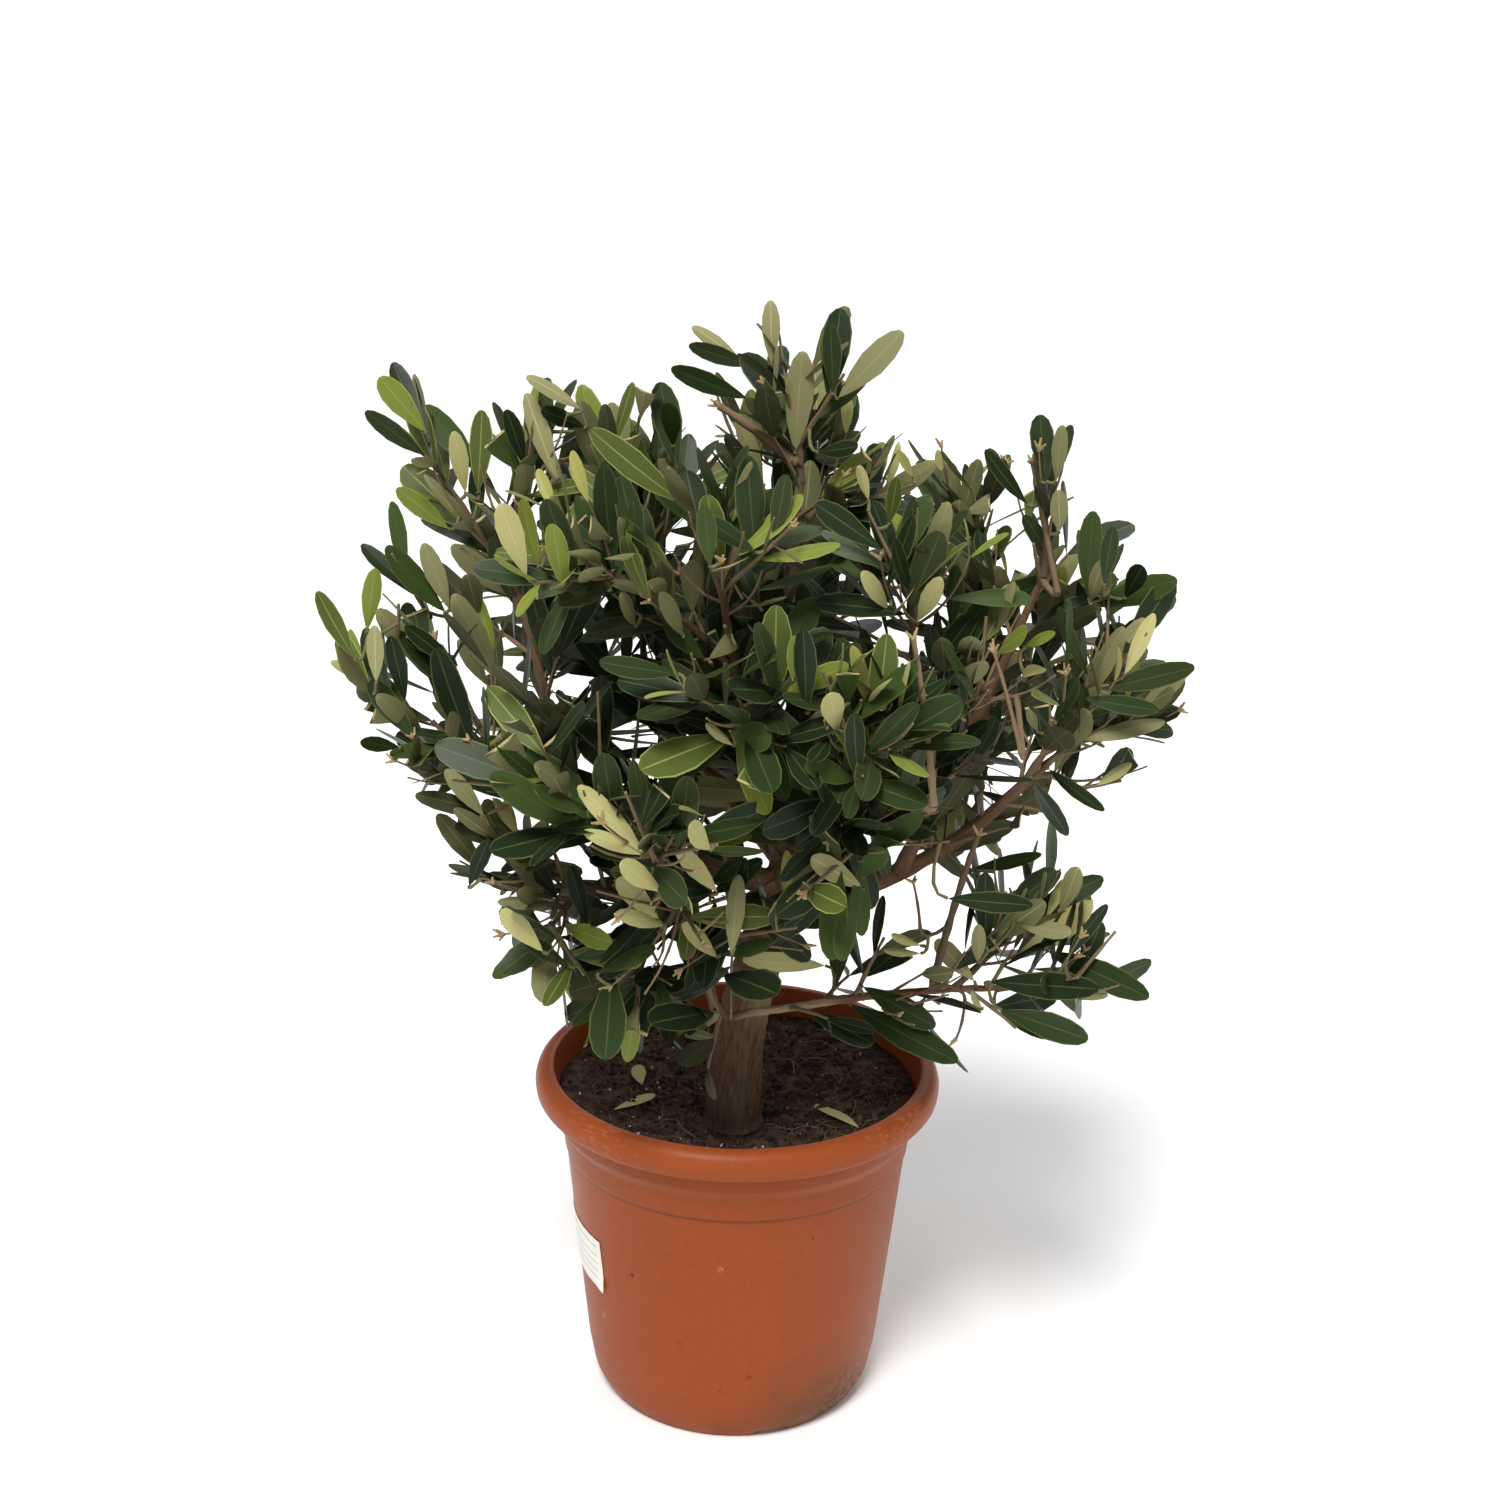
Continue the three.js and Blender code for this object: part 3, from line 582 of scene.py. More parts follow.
def stretch_lengths(points):
    """Lengths of the straight stretches between points."""
    return np.linalg.norm(np.diff(points, axis=0), axis=1)


def trunk_radius(share):
    flare = ROOT_FLARE * np.exp(-share * TRUNK_LENGTH / ROOT_FLARE_REACH)
    return TRUNK_RADIUS - TRUNK_TAPER * share ** 3 + flare


def bough_radius(foot, tip):
    return lambda share: tip + (foot - tip) * (1 - share) ** BOUGH_TAPER


limbs = {"trunk": Limb([[*TRUNK_FOOT, SOIL_DIP_HEIGHT + GAP], *TRUNK_BENDS], trunk_radius)}
for name, (parent, share, points, foot, tip) in BOUGHS.items():
    limbs[name] = Limb([limbs[parent].point(share), *points], bough_radius(foot, tip))
print(len(limbs), "limbs")

# %% [markdown]
# ## Bark
# A young olive has thin grey-brown bark with fine upright ridges, and low swellings
# where boughs leave. Tubes along the curves give the shape, a voxel remesh runs them
# into one skin, and a smoothing pass fills the forks as living wood does. The ridges
# are then real relief: every point of the skin is moved by grain that is stretched
# along its own limb.

# %% Wood of the trunk and boughs in one skin
TUBE_SIDES = 20
TUBE_STEP = 4
WOOD_VOXEL = 1.25
RELIEF = 0.65
BOUGH_THINNING = 0.32
KNOTS_PER_LIMB = 11


def tube(mesh, points, radii, sides):
    """Adds a closed tube round a line of points to a mesh."""
    across = Vector((1, 0, 0))
    rings = []
    for i, (point, radius) in enumerate(zip(points, radii)):
        ahead = Vector(points[min(i + 1, len(points) - 1)] - points[max(i - 1, 0)]).normalized()
        across = (across - ahead * across.dot(ahead)).normalized()
        along = ahead.cross(across)
        ring = []
        for s in range(sides):
            turn = 2 * math.pi * s / sides
            out = across * math.cos(turn) + along * math.sin(turn)
            ring.append(mesh.verts.new((Vector(point) + out * radius) * MM))
        rings.append(ring)
    join_rings(mesh, rings)


def knotted(share, turns):
    """Slow swellings along a limb, so that it isn't as even as a pipe."""
    return 1 + 0.05 * math.sin(turns * share) + 0.03 * math.sin(2.7 * turns * share + 1)


wood = bmesh.new()
for name, limb in limbs.items():
    length = sum(stretch_lengths(limb.links))
    steps = max(8, int(length / TUBE_STEP))
    shares = [i / steps for i in range(steps + 1)]
    thinning = 0 if name == "trunk" else BOUGH_THINNING
    radii = [limb.radius_at(s) * (1 - thinning * s) * knotted(s, KNOTS_PER_LIMB) for s in shares]
    tube(wood, [limb.point(s) for s in shares], radii, TUBE_SIDES)
wood_body = new_object("wood", written(wood, "wood"))
skin = wood_body.modifiers.new("one skin", "REMESH")
skin.mode = "VOXEL"
skin.voxel_size = WOOD_VOXEL * MM
settle = wood_body.modifiers.new("filled forks", "SMOOTH")
settle.iterations = 5
settle.factor = 0.6
bark = baked(wood_body, "bark")
print("one skin of wood with", len(bark.data.vertices), "points")

# %% [markdown]
# To stretch the ridges along each limb, every point of the skin is given its place
# on the nearest limb: the turn round it and the distance along it. That place is
# kept as an attribute, so that the colour follows the same grain as the relief.

# %% Ridges along the wood
def nearest_links(points, starts, ends):
    """Distance from each point to each straight link, and where along the link it falls."""
    along = ends - starts
    length = np.maximum((along ** 2).sum(-1), 1e-12)
    t = np.clip(((points[:, None] - starts) * along).sum(-1) / length, 0, 1)
    feet = starts + t[..., None] * along
    return np.linalg.norm(points[:, None] - feet, axis=-1), t


def mesh_points(mesh):
    places = np.empty(len(mesh.vertices) * 3)
    mesh.vertices.foreach_get("co", places)
    return places.reshape(-1, 3)


GRAIN_STRETCH = 5.5
GRAIN_PITCH = 2.6
GRAIN_PER_LIMB = 37
TURN_START = (0.8, -0.6, 0.05)
BATCH = 8000
HIDDEN_RELIEF = 0.75
limb_starts = np.concatenate([limb.links[:-1] for limb in limbs.values()])
limb_ends = np.concatenate([limb.links[1:] for limb in limbs.values()])
limb_tracks = []
for limb in limbs.values():
    limb_tracks.append(np.concatenate([[0], np.cumsum(stretch_lengths(limb.links))[:-1]]))
link_offsets = np.concatenate(limb_tracks)
link_lengths = np.linalg.norm(limb_ends - limb_starts, axis=1)


def limb_places(points):
    """Grain space of points on the skin: two lengths round the limb and a stretched one along it."""
    places = np.empty_like(points)
    for low in range(0, len(points), BATCH):
        part = points[low:low + BATCH]
        distance, t = nearest_links(part, limb_starts, limb_ends)
        link = distance.argmin(1)
        rows = np.arange(len(part))
        along = link_offsets[link] + t[rows, link] * link_lengths[link]
        foot = limb_starts[link] + t[rows, link, None] * (limb_ends - limb_starts)[link]
        ahead = (limb_ends - limb_starts)[link] / link_lengths[link, None]
        across = np.cross(ahead, TURN_START)
        across /= np.linalg.norm(across, axis=1)[:, None]
        out = part - foot
        places[low:low + BATCH, 0] = (out * across).sum(1)
        places[low:low + BATCH, 1] = (out * np.cross(ahead, across)).sum(1)
        places[low:low + BATCH, 2] = along / GRAIN_STRETCH + GRAIN_PER_LIMB * (link // LIMB_LINKS)
    return places


skin_points = mesh_points(bark.data) / MM
grain_places = limb_places(skin_points)
normals = np.empty(len(skin_points) * 3)
bark.data.vertex_normals.foreach_get("vector", normals)
lift = np.empty(len(skin_points))
for i, place in enumerate(grain_places):
    spot = Vector(place) / GRAIN_PITCH
    ridge = 1 - abs(noise.noise(spot)) * 2
    lift[i] = ridge + 0.5 * noise.noise(spot * 2.3) - 0.6
shown = skin_points[:, 2] < TRUNK_BENDS[3][2]
lift *= np.where(shown, RELIEF, HIDDEN_RELIEF * RELIEF)
moved = (skin_points + normals.reshape(-1, 3) * lift[:, None]) * MM
bark.data.vertices.foreach_set("co", moved.ravel())
grain_store = bark.data.attributes.new("grain", "FLOAT_VECTOR", "POINT")
grain_store.data.foreach_set("vector", (grain_places * MM).ravel())
bark.data.update()
bark.data.shade_smooth()
print("ridges stand", round(float(np.ptp(lift)), 2), "mm")

# %% [markdown]
# Old olive bark is dark brown in its grooves and paler on its ridges, and thin
# boughs are a warmer brown. The colours are mixed by the same stretched grain as
# the relief, and a darker stain climbs a little from the moist soil.

# %% Colour of the bark
GROOVE, RIDGE, WEATHERED, RUST = (76, 56, 42), (122, 96, 74), (126, 108, 88), (120, 80, 50)
LICHEN, YOUNG_WOOD, MOIST_WOOD = (158, 150, 128), (112, 86, 60), (48, 38, 30)
PALE_LIMB, ORANGE_LIMB = (176, 154, 122), (146, 88, 50)

bark_finish = Finish("olive bark", (100, 80, 62), 0.86, 0.25)
rise = bark_finish.height()
grain_place = bark_finish.node("ShaderNodeAttribute", {}, "Vector", attribute_name="grain")
stripes = bark_finish.grain(560, 5, place=grain_place)
patches = bark_finish.grain(60, 4, place=grain_place)
rusty = bark_finish.grain(26, 4, place=grain_place).above(0.5, 0.64) * rise.above(0.24, 0.28)
lichen = bark_finish.grain(900, 3).above(0.66, 0.72) * patches.above(0.5, 0.62)
pale_limb = bark_finish.near((0.03, -0.047, 0.263), 0.018, 0.034)
orange_limb = bark_finish.near((0.088, -0.041, 0.272), 0.016, 0.034) * stripes.above(0.3, 0.6)
moist = 1 - rise.above(0.186, 0.204)
tone = bark_finish.tint(stripes.above(0.3, 0.7), GROOVE, RIDGE)
for share, colour in ((patches.above(0.45, 0.7) * 0.35, WEATHERED), (rusty * 0.45, RUST),
                      (lichen * 0.35, LICHEN), (rise.above(0.30, 0.42) * 0.4, YOUNG_WOOD),
                      (pale_limb * 0.6, PALE_LIMB), (orange_limb * 0.7, ORANGE_LIMB),
                      (moist * 0.5, MOIST_WOOD)):
    tone = bark_finish.tint(share, tone, colour)
bark_finish.paint(Base_Color=tone, Roughness=0.82 + stripes * 0.12)
bark_finish.bump(stripes + bark_finish.grain(1500, 3, place=grain_place) * 0.4, 0.8, 0.0007)
bark.data.materials.clear()
bark.data.materials.append(bark_finish.material)
finished(bark, "bark", "trunk", *[f"bough_{name}" for name in BOUGHS])

# %% [markdown]
# ## How the crown grows
# An olive carries its leaves in opposite pairs, each pair a quarter turn from the
# last, on thin twigs that leave the stem in golden turns. The crown is split into
# masses. Each has a stem that leaves a bough and makes for a far tip, and a space
# round that stem which it keeps to, so that the whole crown stays even. The same
# seeded rule as in the solids gives each mass its stem and its first twigs.

# %% Stems and spaces of the foliage
LEAF_LENGTH = 58
LOWEST_LEAF = 216
STEM_STEPS = 3
STEM_END_ROOM = 0.92
STEM_RISE = 0.25
SIDE_STEM_PULL = 0.3
CELL_TAPER = 0.4
LIMB_ROOM = 2
GOLDEN_TURN = math.radians(137.5)
CUT_LINKS = 6
UP = np.array([0, 0, 1.0])
CROSSWISE = np.array([0.8, -0.6, 0])
MASS_LINKS = STEM_STEPS + 1

# Region, bough, share of it where the stem leaves, far tip, spread of the leaves, seed
MASSES = {
    "top": ("top", "leader", 1, [10, -5, 655], 74, 8108),
    "top_right_middle": ("top", "leader", 0.72, [88, 25, 574], 74, 117),
    "top_back": ("top", "leader", 0.6, [15, 112, 588], 84, 134),
    "top_middle": ("top", "up_left", 1, [-56, 10, 611], 74, 10161),
    "top_left": ("top", "left_up", 1, [-122, -10, 613], 72, 7175),
    "top_left_end": ("top", "left_up", 0.8, [-203, 10, 610], 66, 1186),
    "left_end": ("left", "left", 1, [-234, -32, 499], 74, 202),
    "left_high": ("left", "left", 0.86, [-206, 8, 540], 70, 219),
    "left_side": ("left", "left", 0.8, [-222, -52, 420], 70, 2238),
    "left_under": ("left", "left_low", 1, [-162, -22, 322], 72, 253),
    "left_low_front": ("left", "left_low", 0.84, [-130, -85, 290], 70, 6276),
    "left_hanging": ("left", "left_low", 0.5, [-72, -112, 238], 62, 287),
    "front_low": ("front", "front_left", 1, [-54, -202, 398], 78, 6310),
    "front_left_side": ("front", "front_left", 0.8, [-150, -148, 456], 84, 321),
    "front_left_low": ("front", "front_left", 0.66, [-72, -148, 318], 70, 1339),
    "front_centre": ("front", "front_left", 0.55, [12, -130, 300], 70, 3358),
    "front_middle": ("front", "front_up", 0.66, [2, -203, 478], 80, 4376),
    "front_top": ("front", "front_up", 1, [-16, -152, 580], 78, 3392),
    "front_top_left": ("front", "front_up", 0.82, [-118, -132, 574], 80, 406),
    "front_right": ("front_right", "front_right", 1, [66, -196, 484], 76, 3426),
    "front_low_right": ("front_right", "front_right", 0.72, [80, -165, 368], 74, 8448),
    "right_front_top": ("front_right", "right_up", 1, [82, -120, 562], 74, 457),
    "right_front": ("front_right", "right_up", 0.7, [150, -136, 506], 76, 5479),
    "right_end": ("right", "right", 1, [249, 8, 452], 74, 9500),
    "right_high": ("right", "right", 0.9, [240, -4, 510], 70, 508),
    "right_hanging": ("right", "right", 0.95, [234, 58, 348], 64, 1526),
    "right_top": ("right", "right_top", 1, [158, 20, 597], 72, 542),
    "back_right": ("right", "right_back", 1, [198, 128, 478], 84, 559),
    "back_right_top": ("right", "right_back", 0.84, [112, 122, 562], 84, 576),
    "low_right": ("front_right", "low_right", 1, [238, -42, 272], 68, 3596),
    "low_right_up": ("front_right", "low_right", 0.88, [202, 22, 332], 66, 5615),
    "low_right_front": ("front_right", "low_right", 0.72, [128, -92, 240], 60, 6633),
    "back": ("back", "back", 1, [15, 205, 472], 84, 644),
    "back_low": ("back", "back", 0.74, [30, 165, 330], 84, 661),
    "back_left": ("back", "back_left", 1, [-168, 142, 482], 84, 678),
    "back_left_top": ("back", "back_left", 0.66, [-68, 125, 578], 84, 695),
    "back_left_low": ("back", "back_left", 0.84, [-142, 110, 352], 84, 712),
    "back_right_low": ("back", "back_right", 1, [166, 126, 338], 84, 729),
}


def unit(way):
    return way / math.sqrt(way @ way)


def seeded(seed):
    """Repeatable numbers from 0 to 1, after a few warm-up draws."""
    state = seed

    def draw():
        nonlocal state
        state = (state * 1664525 + 1013904223) % 2 ** 32
        return state / 2 ** 32

    for _ in range(3):
        draw()
    return draw


def dealt(draw, least, more):
    """One draw between least and least + more."""
    return least + more * draw()


class Chain:
    """Straight stretches between points of a bent line: the run of a twig."""

    def __init__(self, start, bend, end, steps):
        shares = np.linspace(0, 1, steps + 1)[:, None]
        self.points = (1 - shares) ** 2 * start + 2 * shares * (1 - shares) * bend + shares ** 2 * end

    def point(self, share):
        stretches = len(self.points) - 1
        at = min(max(share, 0), 1) * stretches
        first = min(int(at), stretches - 1)
        return self.points[first] + (at - first) * (self.points[first + 1] - self.points[first])

    def ahead(self, share):
        return unit(self.point(share + 0.02) - self.point(share - 0.02))

    def length(self):
        return float(stretch_lengths(self.points).sum())

    def until(self, share):
        """The same run, cut short at a share of it."""
        short = Chain(self.points[0], self.points[0], self.points[-1], 1)
        short.points = np.array([self.point(share * i / CUT_LINKS) for i in range(CUT_LINKS + 1)])
        return short


def chain_of(run, steps):
    return np.array([run.point(i / steps) for i in range(steps + 1)])


class Mass:
    """A mass of foliage: its stem, and the space round it."""

    def __init__(self, carrier, share, tip, spread, seed):
        limb = limbs[carrier]
        leaves = min(share, 0.99)
        self.foot = limb.point(leaves)
        self.far = np.array(tip, float)
        to_far = self.far - self.foot
        distance = float(np.linalg.norm(to_far))
        self.way = to_far / distance
        start = limb.ahead(leaves) * (1 if share == 1 else SIDE_STEM_PULL)
        start = unit(start + self.way + STEM_RISE * UP)
        reach = distance - min(STEM_END_ROOM * LEAF_LENGTH, distance / 2)
        bend, end = self.foot + start * reach / 2, self.foot + self.way * reach
        self.stem = Chain(self.foot, bend, end, STEM_STEPS)
        self.links = np.vstack([self.stem.points, self.far])
        self.spread = spread
        self.seed = seed


masses = [Mass(*row[1:]) for row in MASSES.values()]
mass_starts = np.concatenate([mass.links[:-1] for mass in masses])
mass_ends = np.concatenate([mass.links[1:] for mass in masses])
mass_spreads = np.array([mass.spread for mass in masses], float)
print(len(masses), "masses of foliage")

# %% [markdown]
# A leaf or twig is kept only where it stays in its own mass's space: above the
# rim, short of the plane through the far tip, nearer to its own stem than to any
# other, and clear of every limb. Many points are tried at once.

# %% Whether points are in a mass's space
TIP_ROOM = 1
INNER_REACH = 0.95
FIRST_WANDER = 0.2


def clear_of_limbs(points, room):
    """True where all the points lie outside every limb by some room."""
    distance, t = nearest_links(points, limb_starts, limb_ends)
    distance = distance.reshape(len(points), -1, LIMB_LINKS)
    t = t.reshape(distance.shape)
    link = distance.argmin(2)
    share = (link + np.take_along_axis(t, link[..., None], 2)[..., 0]) / LIMB_LINKS
    for i, limb in enumerate(limbs.values()):
        if (distance[:, i].min(1) < limb.radius_at(share[:, i]) + room).any():
            return False
    return True


def mass_distances(points):
    """Distance to each link of each stem, the place along it, and the nearest in spreads."""
    distance, t = nearest_links(points, mass_starts, mass_ends)
    distance = distance.reshape(len(points), -1, MASS_LINKS)
    return distance, t.reshape(distance.shape), distance.min(2) / mass_spreads


def in_crown(points):
    """True where all the points lie between the masses or in one of them."""
    if points[:, 2].min() < LOWEST_LEAF:
        return False
    nearest = mass_distances(points)[2]
    return (nearest.min(1) < INNER_REACH).all() and clear_of_limbs(points, LIMB_ROOM)


def in_space(points, number, cell_room):
    """True where all the points may hold leaves of the mass with that number."""
    if points[:, 2].min() < LOWEST_LEAF:
        return False
    mass = masses[number]
    if ((points - mass.far) @ mass.way).max() > TIP_ROOM:
        return False
    distance, t, nearest = mass_distances(points)
    link = distance[:, number].argmin(1)
    share = (link + t[np.arange(len(points)), number, link]) / MASS_LINKS
    if (nearest[:, number] > 1 - CELL_TAPER * share ** 3).any():
        return False
    others = np.delete(nearest, number, 1).min(1)
    if (others < nearest[:, number] + cell_room).any():
        return False
    return clear_of_limbs(points, LIMB_ROOM)


def sideways(ahead, turn):
    """A direction square to another, at a turn round it."""
    side = unit(np.cross(ahead, CROSSWISE))
    return side * math.cos(turn) + np.cross(ahead, side) * math.sin(turn)


def leaning(ahead, out, angle, lift):
    """A direction that leans out from another by an angle, and up by a share."""
    return unit(ahead * math.cos(angle) + out * math.sin(angle) + UP * lift)


def first_that_fits(clear, make, tries):
    """Tries a shape in directions that wander further each time, and keeps the first that fits."""
    for i in range(tries):
        shape = make(FIRST_WANDER + (1 - FIRST_WANDER) * i / tries)
        if clear(shape):
            return shape
    return None


print("the space of each mass is known")

# %% [markdown]
# The crown is full but not closed. Sky shows round its lobes and through gaps, and
# most of the soil and the rim lie open. Each such view is a round channel on a line
# to the viewer, and the rule's leaves and thin twigs stay out of all of them.

# %% Views that stay open
VIEWER = np.array(CAMERA_AT) / MM
SKY_DEPTH = 240
MOUTH_PITCH = 14
MOUTH_REACH = 98
MOUTH_HEIGHT = 188
MOUTH_DEPTH = 330
MOUTH_ROOM = 7
TRUNK_SHADE = 24
MOUTH_BACK_LEFT = 18
MOUTH_BACK_RIGHT = 46
RIM_STEP = 6
RIM_TURN = 100
RIM_RADII = (104, 117)
RIM_HEIGHT = 206

# Middle of each view across and up, in the upright plane through the pot's axis, and its
# radius. First the sky round the crown, from the lower left over the top to the lower right.
SKY_ROUND_CROWN = [
    (-130, 243, 12), (-165, 280, 24), (-155, 305, 12), (-205, 335, 34), (-225, 360, 35),
    (-208, 405, 8), (-250, 415, 22), (-258, 460, 24), (-222, 492, 7), (-225, 512, 12),
    (-200, 488, 6), (-215, 540, 18), (-245, 555, 42), (-195, 572, 7), (-205, 605, 10),
    (-165, 625, 14), (-160, 606, 14), (-166, 588, 5), (-140, 615, 14), (-78, 612, 11),
    (-60, 632, 12), (-60, 655, 15), (-38, 604, 6), (-30, 595, 9), (-28, 580, 6),
    (-20, 571, 6), (-5, 642, 8), (24, 641, 8), (30, 668, 20), (55, 640, 5),
    (75, 600, 16), (100, 600, 20), (115, 582, 12), (130, 600, 18), (142, 580, 8),
    (147, 562, 5), (195, 585, 18), (181, 565, 9), (220, 575, 35), (230, 540, 20),
    (262, 485, 22), (235, 472, 9), (265, 425, 18), (255, 395, 25), (265, 370, 30),
    (225, 350, 25), (240, 320, 30), (190, 350, 10), (165, 360, 7), (225, 238, 16),
    (165, 215, 14), (145, 225, 14), (125, 232, 6), (226, 378, 14), (243, 490, 8),
    (252, 440, 8),
]
# Then the gaps inside it, from left to right.
SKY_GAPS = [
    (-184, 432, 8), (-178, 415, 7), (-158, 441, 7), (-152, 423, 5), (-142, 329, 6),
    (-138, 484, 6), (-137, 560, 8), (-133, 427, 6), (-115, 530, 6), (-94, 440, 8),
    (-90, 391, 7), (-76, 291, 5), (-72, 430, 6), (-72, 388, 6), (-70, 410, 5),
    (-54, 583, 5), (-53, 534, 5), (-39, 525, 7), (3, 433, 5), (12, 563, 6),
    (25, 428, 6), (42, 288, 5), (46, 263, 5), (80, 252, 5), (92, 312, 13),
    (92, 553, 4), (99, 538, 5), (103, 276, 5), (104, 431, 5), (105, 330, 6),
    (113, 312, 9), (130, 534, 5), (144, 452, 5), (147, 398, 5), (147, 384, 5),
    (150, 515, 6), (153, 410, 5), (155, 325, 7), (156, 483, 5), (171, 464, 5),
    (184, 376, 8), (192, 392, 6), (192, 479, 6), (195, 365, 8), (203, 405, 7),
]
view_starts, view_ends, view_radii = [], [], []


def keep_open(place, before, beyond, radius):
    """Keeps a channel through a place open, some way before and beyond it."""
    to_viewer = unit(VIEWER - place)
    view_starts.append(place - beyond * to_viewer)
    view_ends.append(place + before * to_viewer)
    view_radii.append(radius)


def out_of_views(points):
    """True where none of the points stands in a view that stays open."""
    distance, t = nearest_links(points, view_starts, view_ends)
    return bool((distance > view_radii).all())


for x, z, radius in SKY_ROUND_CROWN + SKY_GAPS:
    keep_open(np.array([x, 0, z]), SKY_DEPTH, SKY_DEPTH, radius)
for x, y in product(range(-MOUTH_REACH, MOUTH_REACH, MOUTH_PITCH), repeat=2):
    hidden = abs(x) < TRUNK_SHADE or y > (MOUTH_BACK_RIGHT if x > 0 else MOUTH_BACK_LEFT)
    if math.hypot(x, y) < MOUTH_REACH and not hidden:
        keep_open(np.array([x, y, MOUTH_HEIGHT]), MOUTH_DEPTH, 0, MOUTH_ROOM)
for turn_degrees, radius in product(range(-RIM_TURN, RIM_TURN + 1, RIM_STEP), RIM_RADII):
    turn = math.radians(turn_degrees)
    place = np.array([radius * math.sin(turn), -radius * math.cos(turn), RIM_HEIGHT])
    keep_open(place, MOUTH_DEPTH, 0, MOUTH_ROOM)
view_starts, view_ends, view_radii = map(np.array, (view_starts, view_ends, view_radii))
print(len(view_radii), "views stay open")

# %% [markdown]
# The first twigs come from the same draws as in the solids, so they stand in the
# same places. Finer twigs follow from a second seed: more side twigs on the stem,
# then short ones on each side twig, as a clipped olive throws them.

# %% Twigs
TWIG_COUNT = 3
FIRST_TWIG = 0.3
TWIG_ZONE = 0.65
TWIG_SPREAD = math.radians(52)
TWIG_RISE = 0.12
CELL_ROOM = 0.03
LEAF_ROOM = 6
TRIES = 20
STEM_RADIUS = 1.9
SIDE_RADIUS = 1.25
FINE_RADIUS = 0.8
FINE_CELL_ROOM = -0.2
FINE_COUNT = 9
SPRIG_COUNT = 2
SPARSE_MASSES = {"top": 3, "top_left_end": 5, "right_top": 5, "low_right": 5, "low_right_up": 5}
FINE_TRIES = 14
TWIG_APART = 7
TRIM_STEPS = 12
STEM_KEPT = 0.4
LEAST_KEPT = 0.3
FINE_START = 0.22
FINE_ZONE = 0.72
FINE_LEAN = 0.35
STEM_TWIG_LENGTHS = (26, 62)
SPRIG_LENGTHS = (18, 34)
FINE_SEED = 500

# Ranges of draws: the least, and how much more there may be
FIRST_LIFT = (0.15, 0.2)
FINE_LIFT = (0.1, 0.3)
FINE_SPREAD = (38, 26)


class Twig:
    """A run with its radius, the depth of its branching, and its taper from foot to tip."""

    def __init__(self, run, radius, depth, taper=(1.1, 0.55)):
        self.run = run
        self.radius = radius
        self.depth = depth
        self.taper = taper
        self.links = chain_of(run, 6)


def far_apart(points, others, room):
    gaps = np.linalg.norm(points[:, None] - others[None], axis=-1)
    return gaps.min() > room


def first_twigs(number):
    """The mass's stem and the side twigs that the solids show."""
    mass = masses[number]
    draw = seeded(mass.seed)
    stem = Twig(mass.stem, STEM_RADIUS, 0)
    grown = [stem]
    guards = [chain_of(mass.stem, 16)]
    offset = draw() * math.pi * 2

    def clear(run):
        links = chain_of(run, 6)[1:]
        return in_space(links, number, CELL_ROOM) and all(far_apart(links, g, LEAF_ROOM) for g in guards)

    for i in range(TWIG_COUNT):
        share = FIRST_TWIG + TWIG_ZONE * (i + 0.5) / TWIG_COUNT
        ahead, start = mass.stem.ahead(share), mass.stem.point(share)

        def make(wander):
            out = sideways(ahead, offset + i * GOLDEN_TURN + (draw() - 0.5) * wander * 3)
            way = leaning(ahead, out, TWIG_SPREAD, dealt(draw, *FIRST_LIFT))
            length = (mass.spread - 0.5 * LEAF_LENGTH) * (1.1 - 0.5 * wander * draw())
            end = start + way * length + UP * length * TWIG_RISE
            return Chain(start, start + way * length / 2, end, 1)

        run = first_that_fits(clear, make, TRIES)
        if run:
            grown.append(Twig(run, SIDE_RADIUS, 1))
            guards.append(chain_of(run, 6))
    return grown


def finer_twigs(number, grown, parent, count, lengths, draw):
    """Thinner twigs from one parent, in golden turns, added to those that have grown."""
    offset = draw() * math.pi * 2

    def clear(twig):
        links = twig.links[2:]
        return (in_space(links, number, FINE_CELL_ROOM) and out_of_views(links)
                and all(far_apart(links, other.links, TWIG_APART) for other in grown))

    for i in range(count):
        share = FINE_START + FINE_ZONE * (i + draw()) / count
        ahead, start = parent.run.ahead(share), parent.run.point(share)

        def make(wander):
            out = sideways(ahead, offset + i * GOLDEN_TURN + (draw() - 0.5) * wander * 4)
            spread = math.radians(dealt(draw, *FINE_SPREAD))
            way = leaning(ahead, out, spread, dealt(draw, *FINE_LIFT))
            length = lengths[0] + (lengths[1] - lengths[0]) * draw() * (1.1 - 0.6 * wander)
            end = start + leaning(way, ahead, FINE_LEAN, FINE_LEAN) * length
            run = Chain(start, start + way * length / 2, end, 4)
            return Twig(run, FINE_RADIUS, parent.depth + 1)

        twig = first_that_fits(clear, make, FINE_TRIES)
        if twig:
            grown.append(twig)


def trimmed(twig):
    """The twig up to where it meets an open view, or nothing where little of it is left."""
    shares = np.linspace(0, 1, TRIM_STEPS + 1)
    met = [share for share in shares if not out_of_views(twig.run.point(share)[None])]
    if not met:
        return twig
    left = max(met[0] - 1 / TRIM_STEPS, STEM_KEPT if twig.depth == 0 else 0)
    return Twig(twig.run.until(left), twig.radius, twig.depth) if left > LEAST_KEPT else None


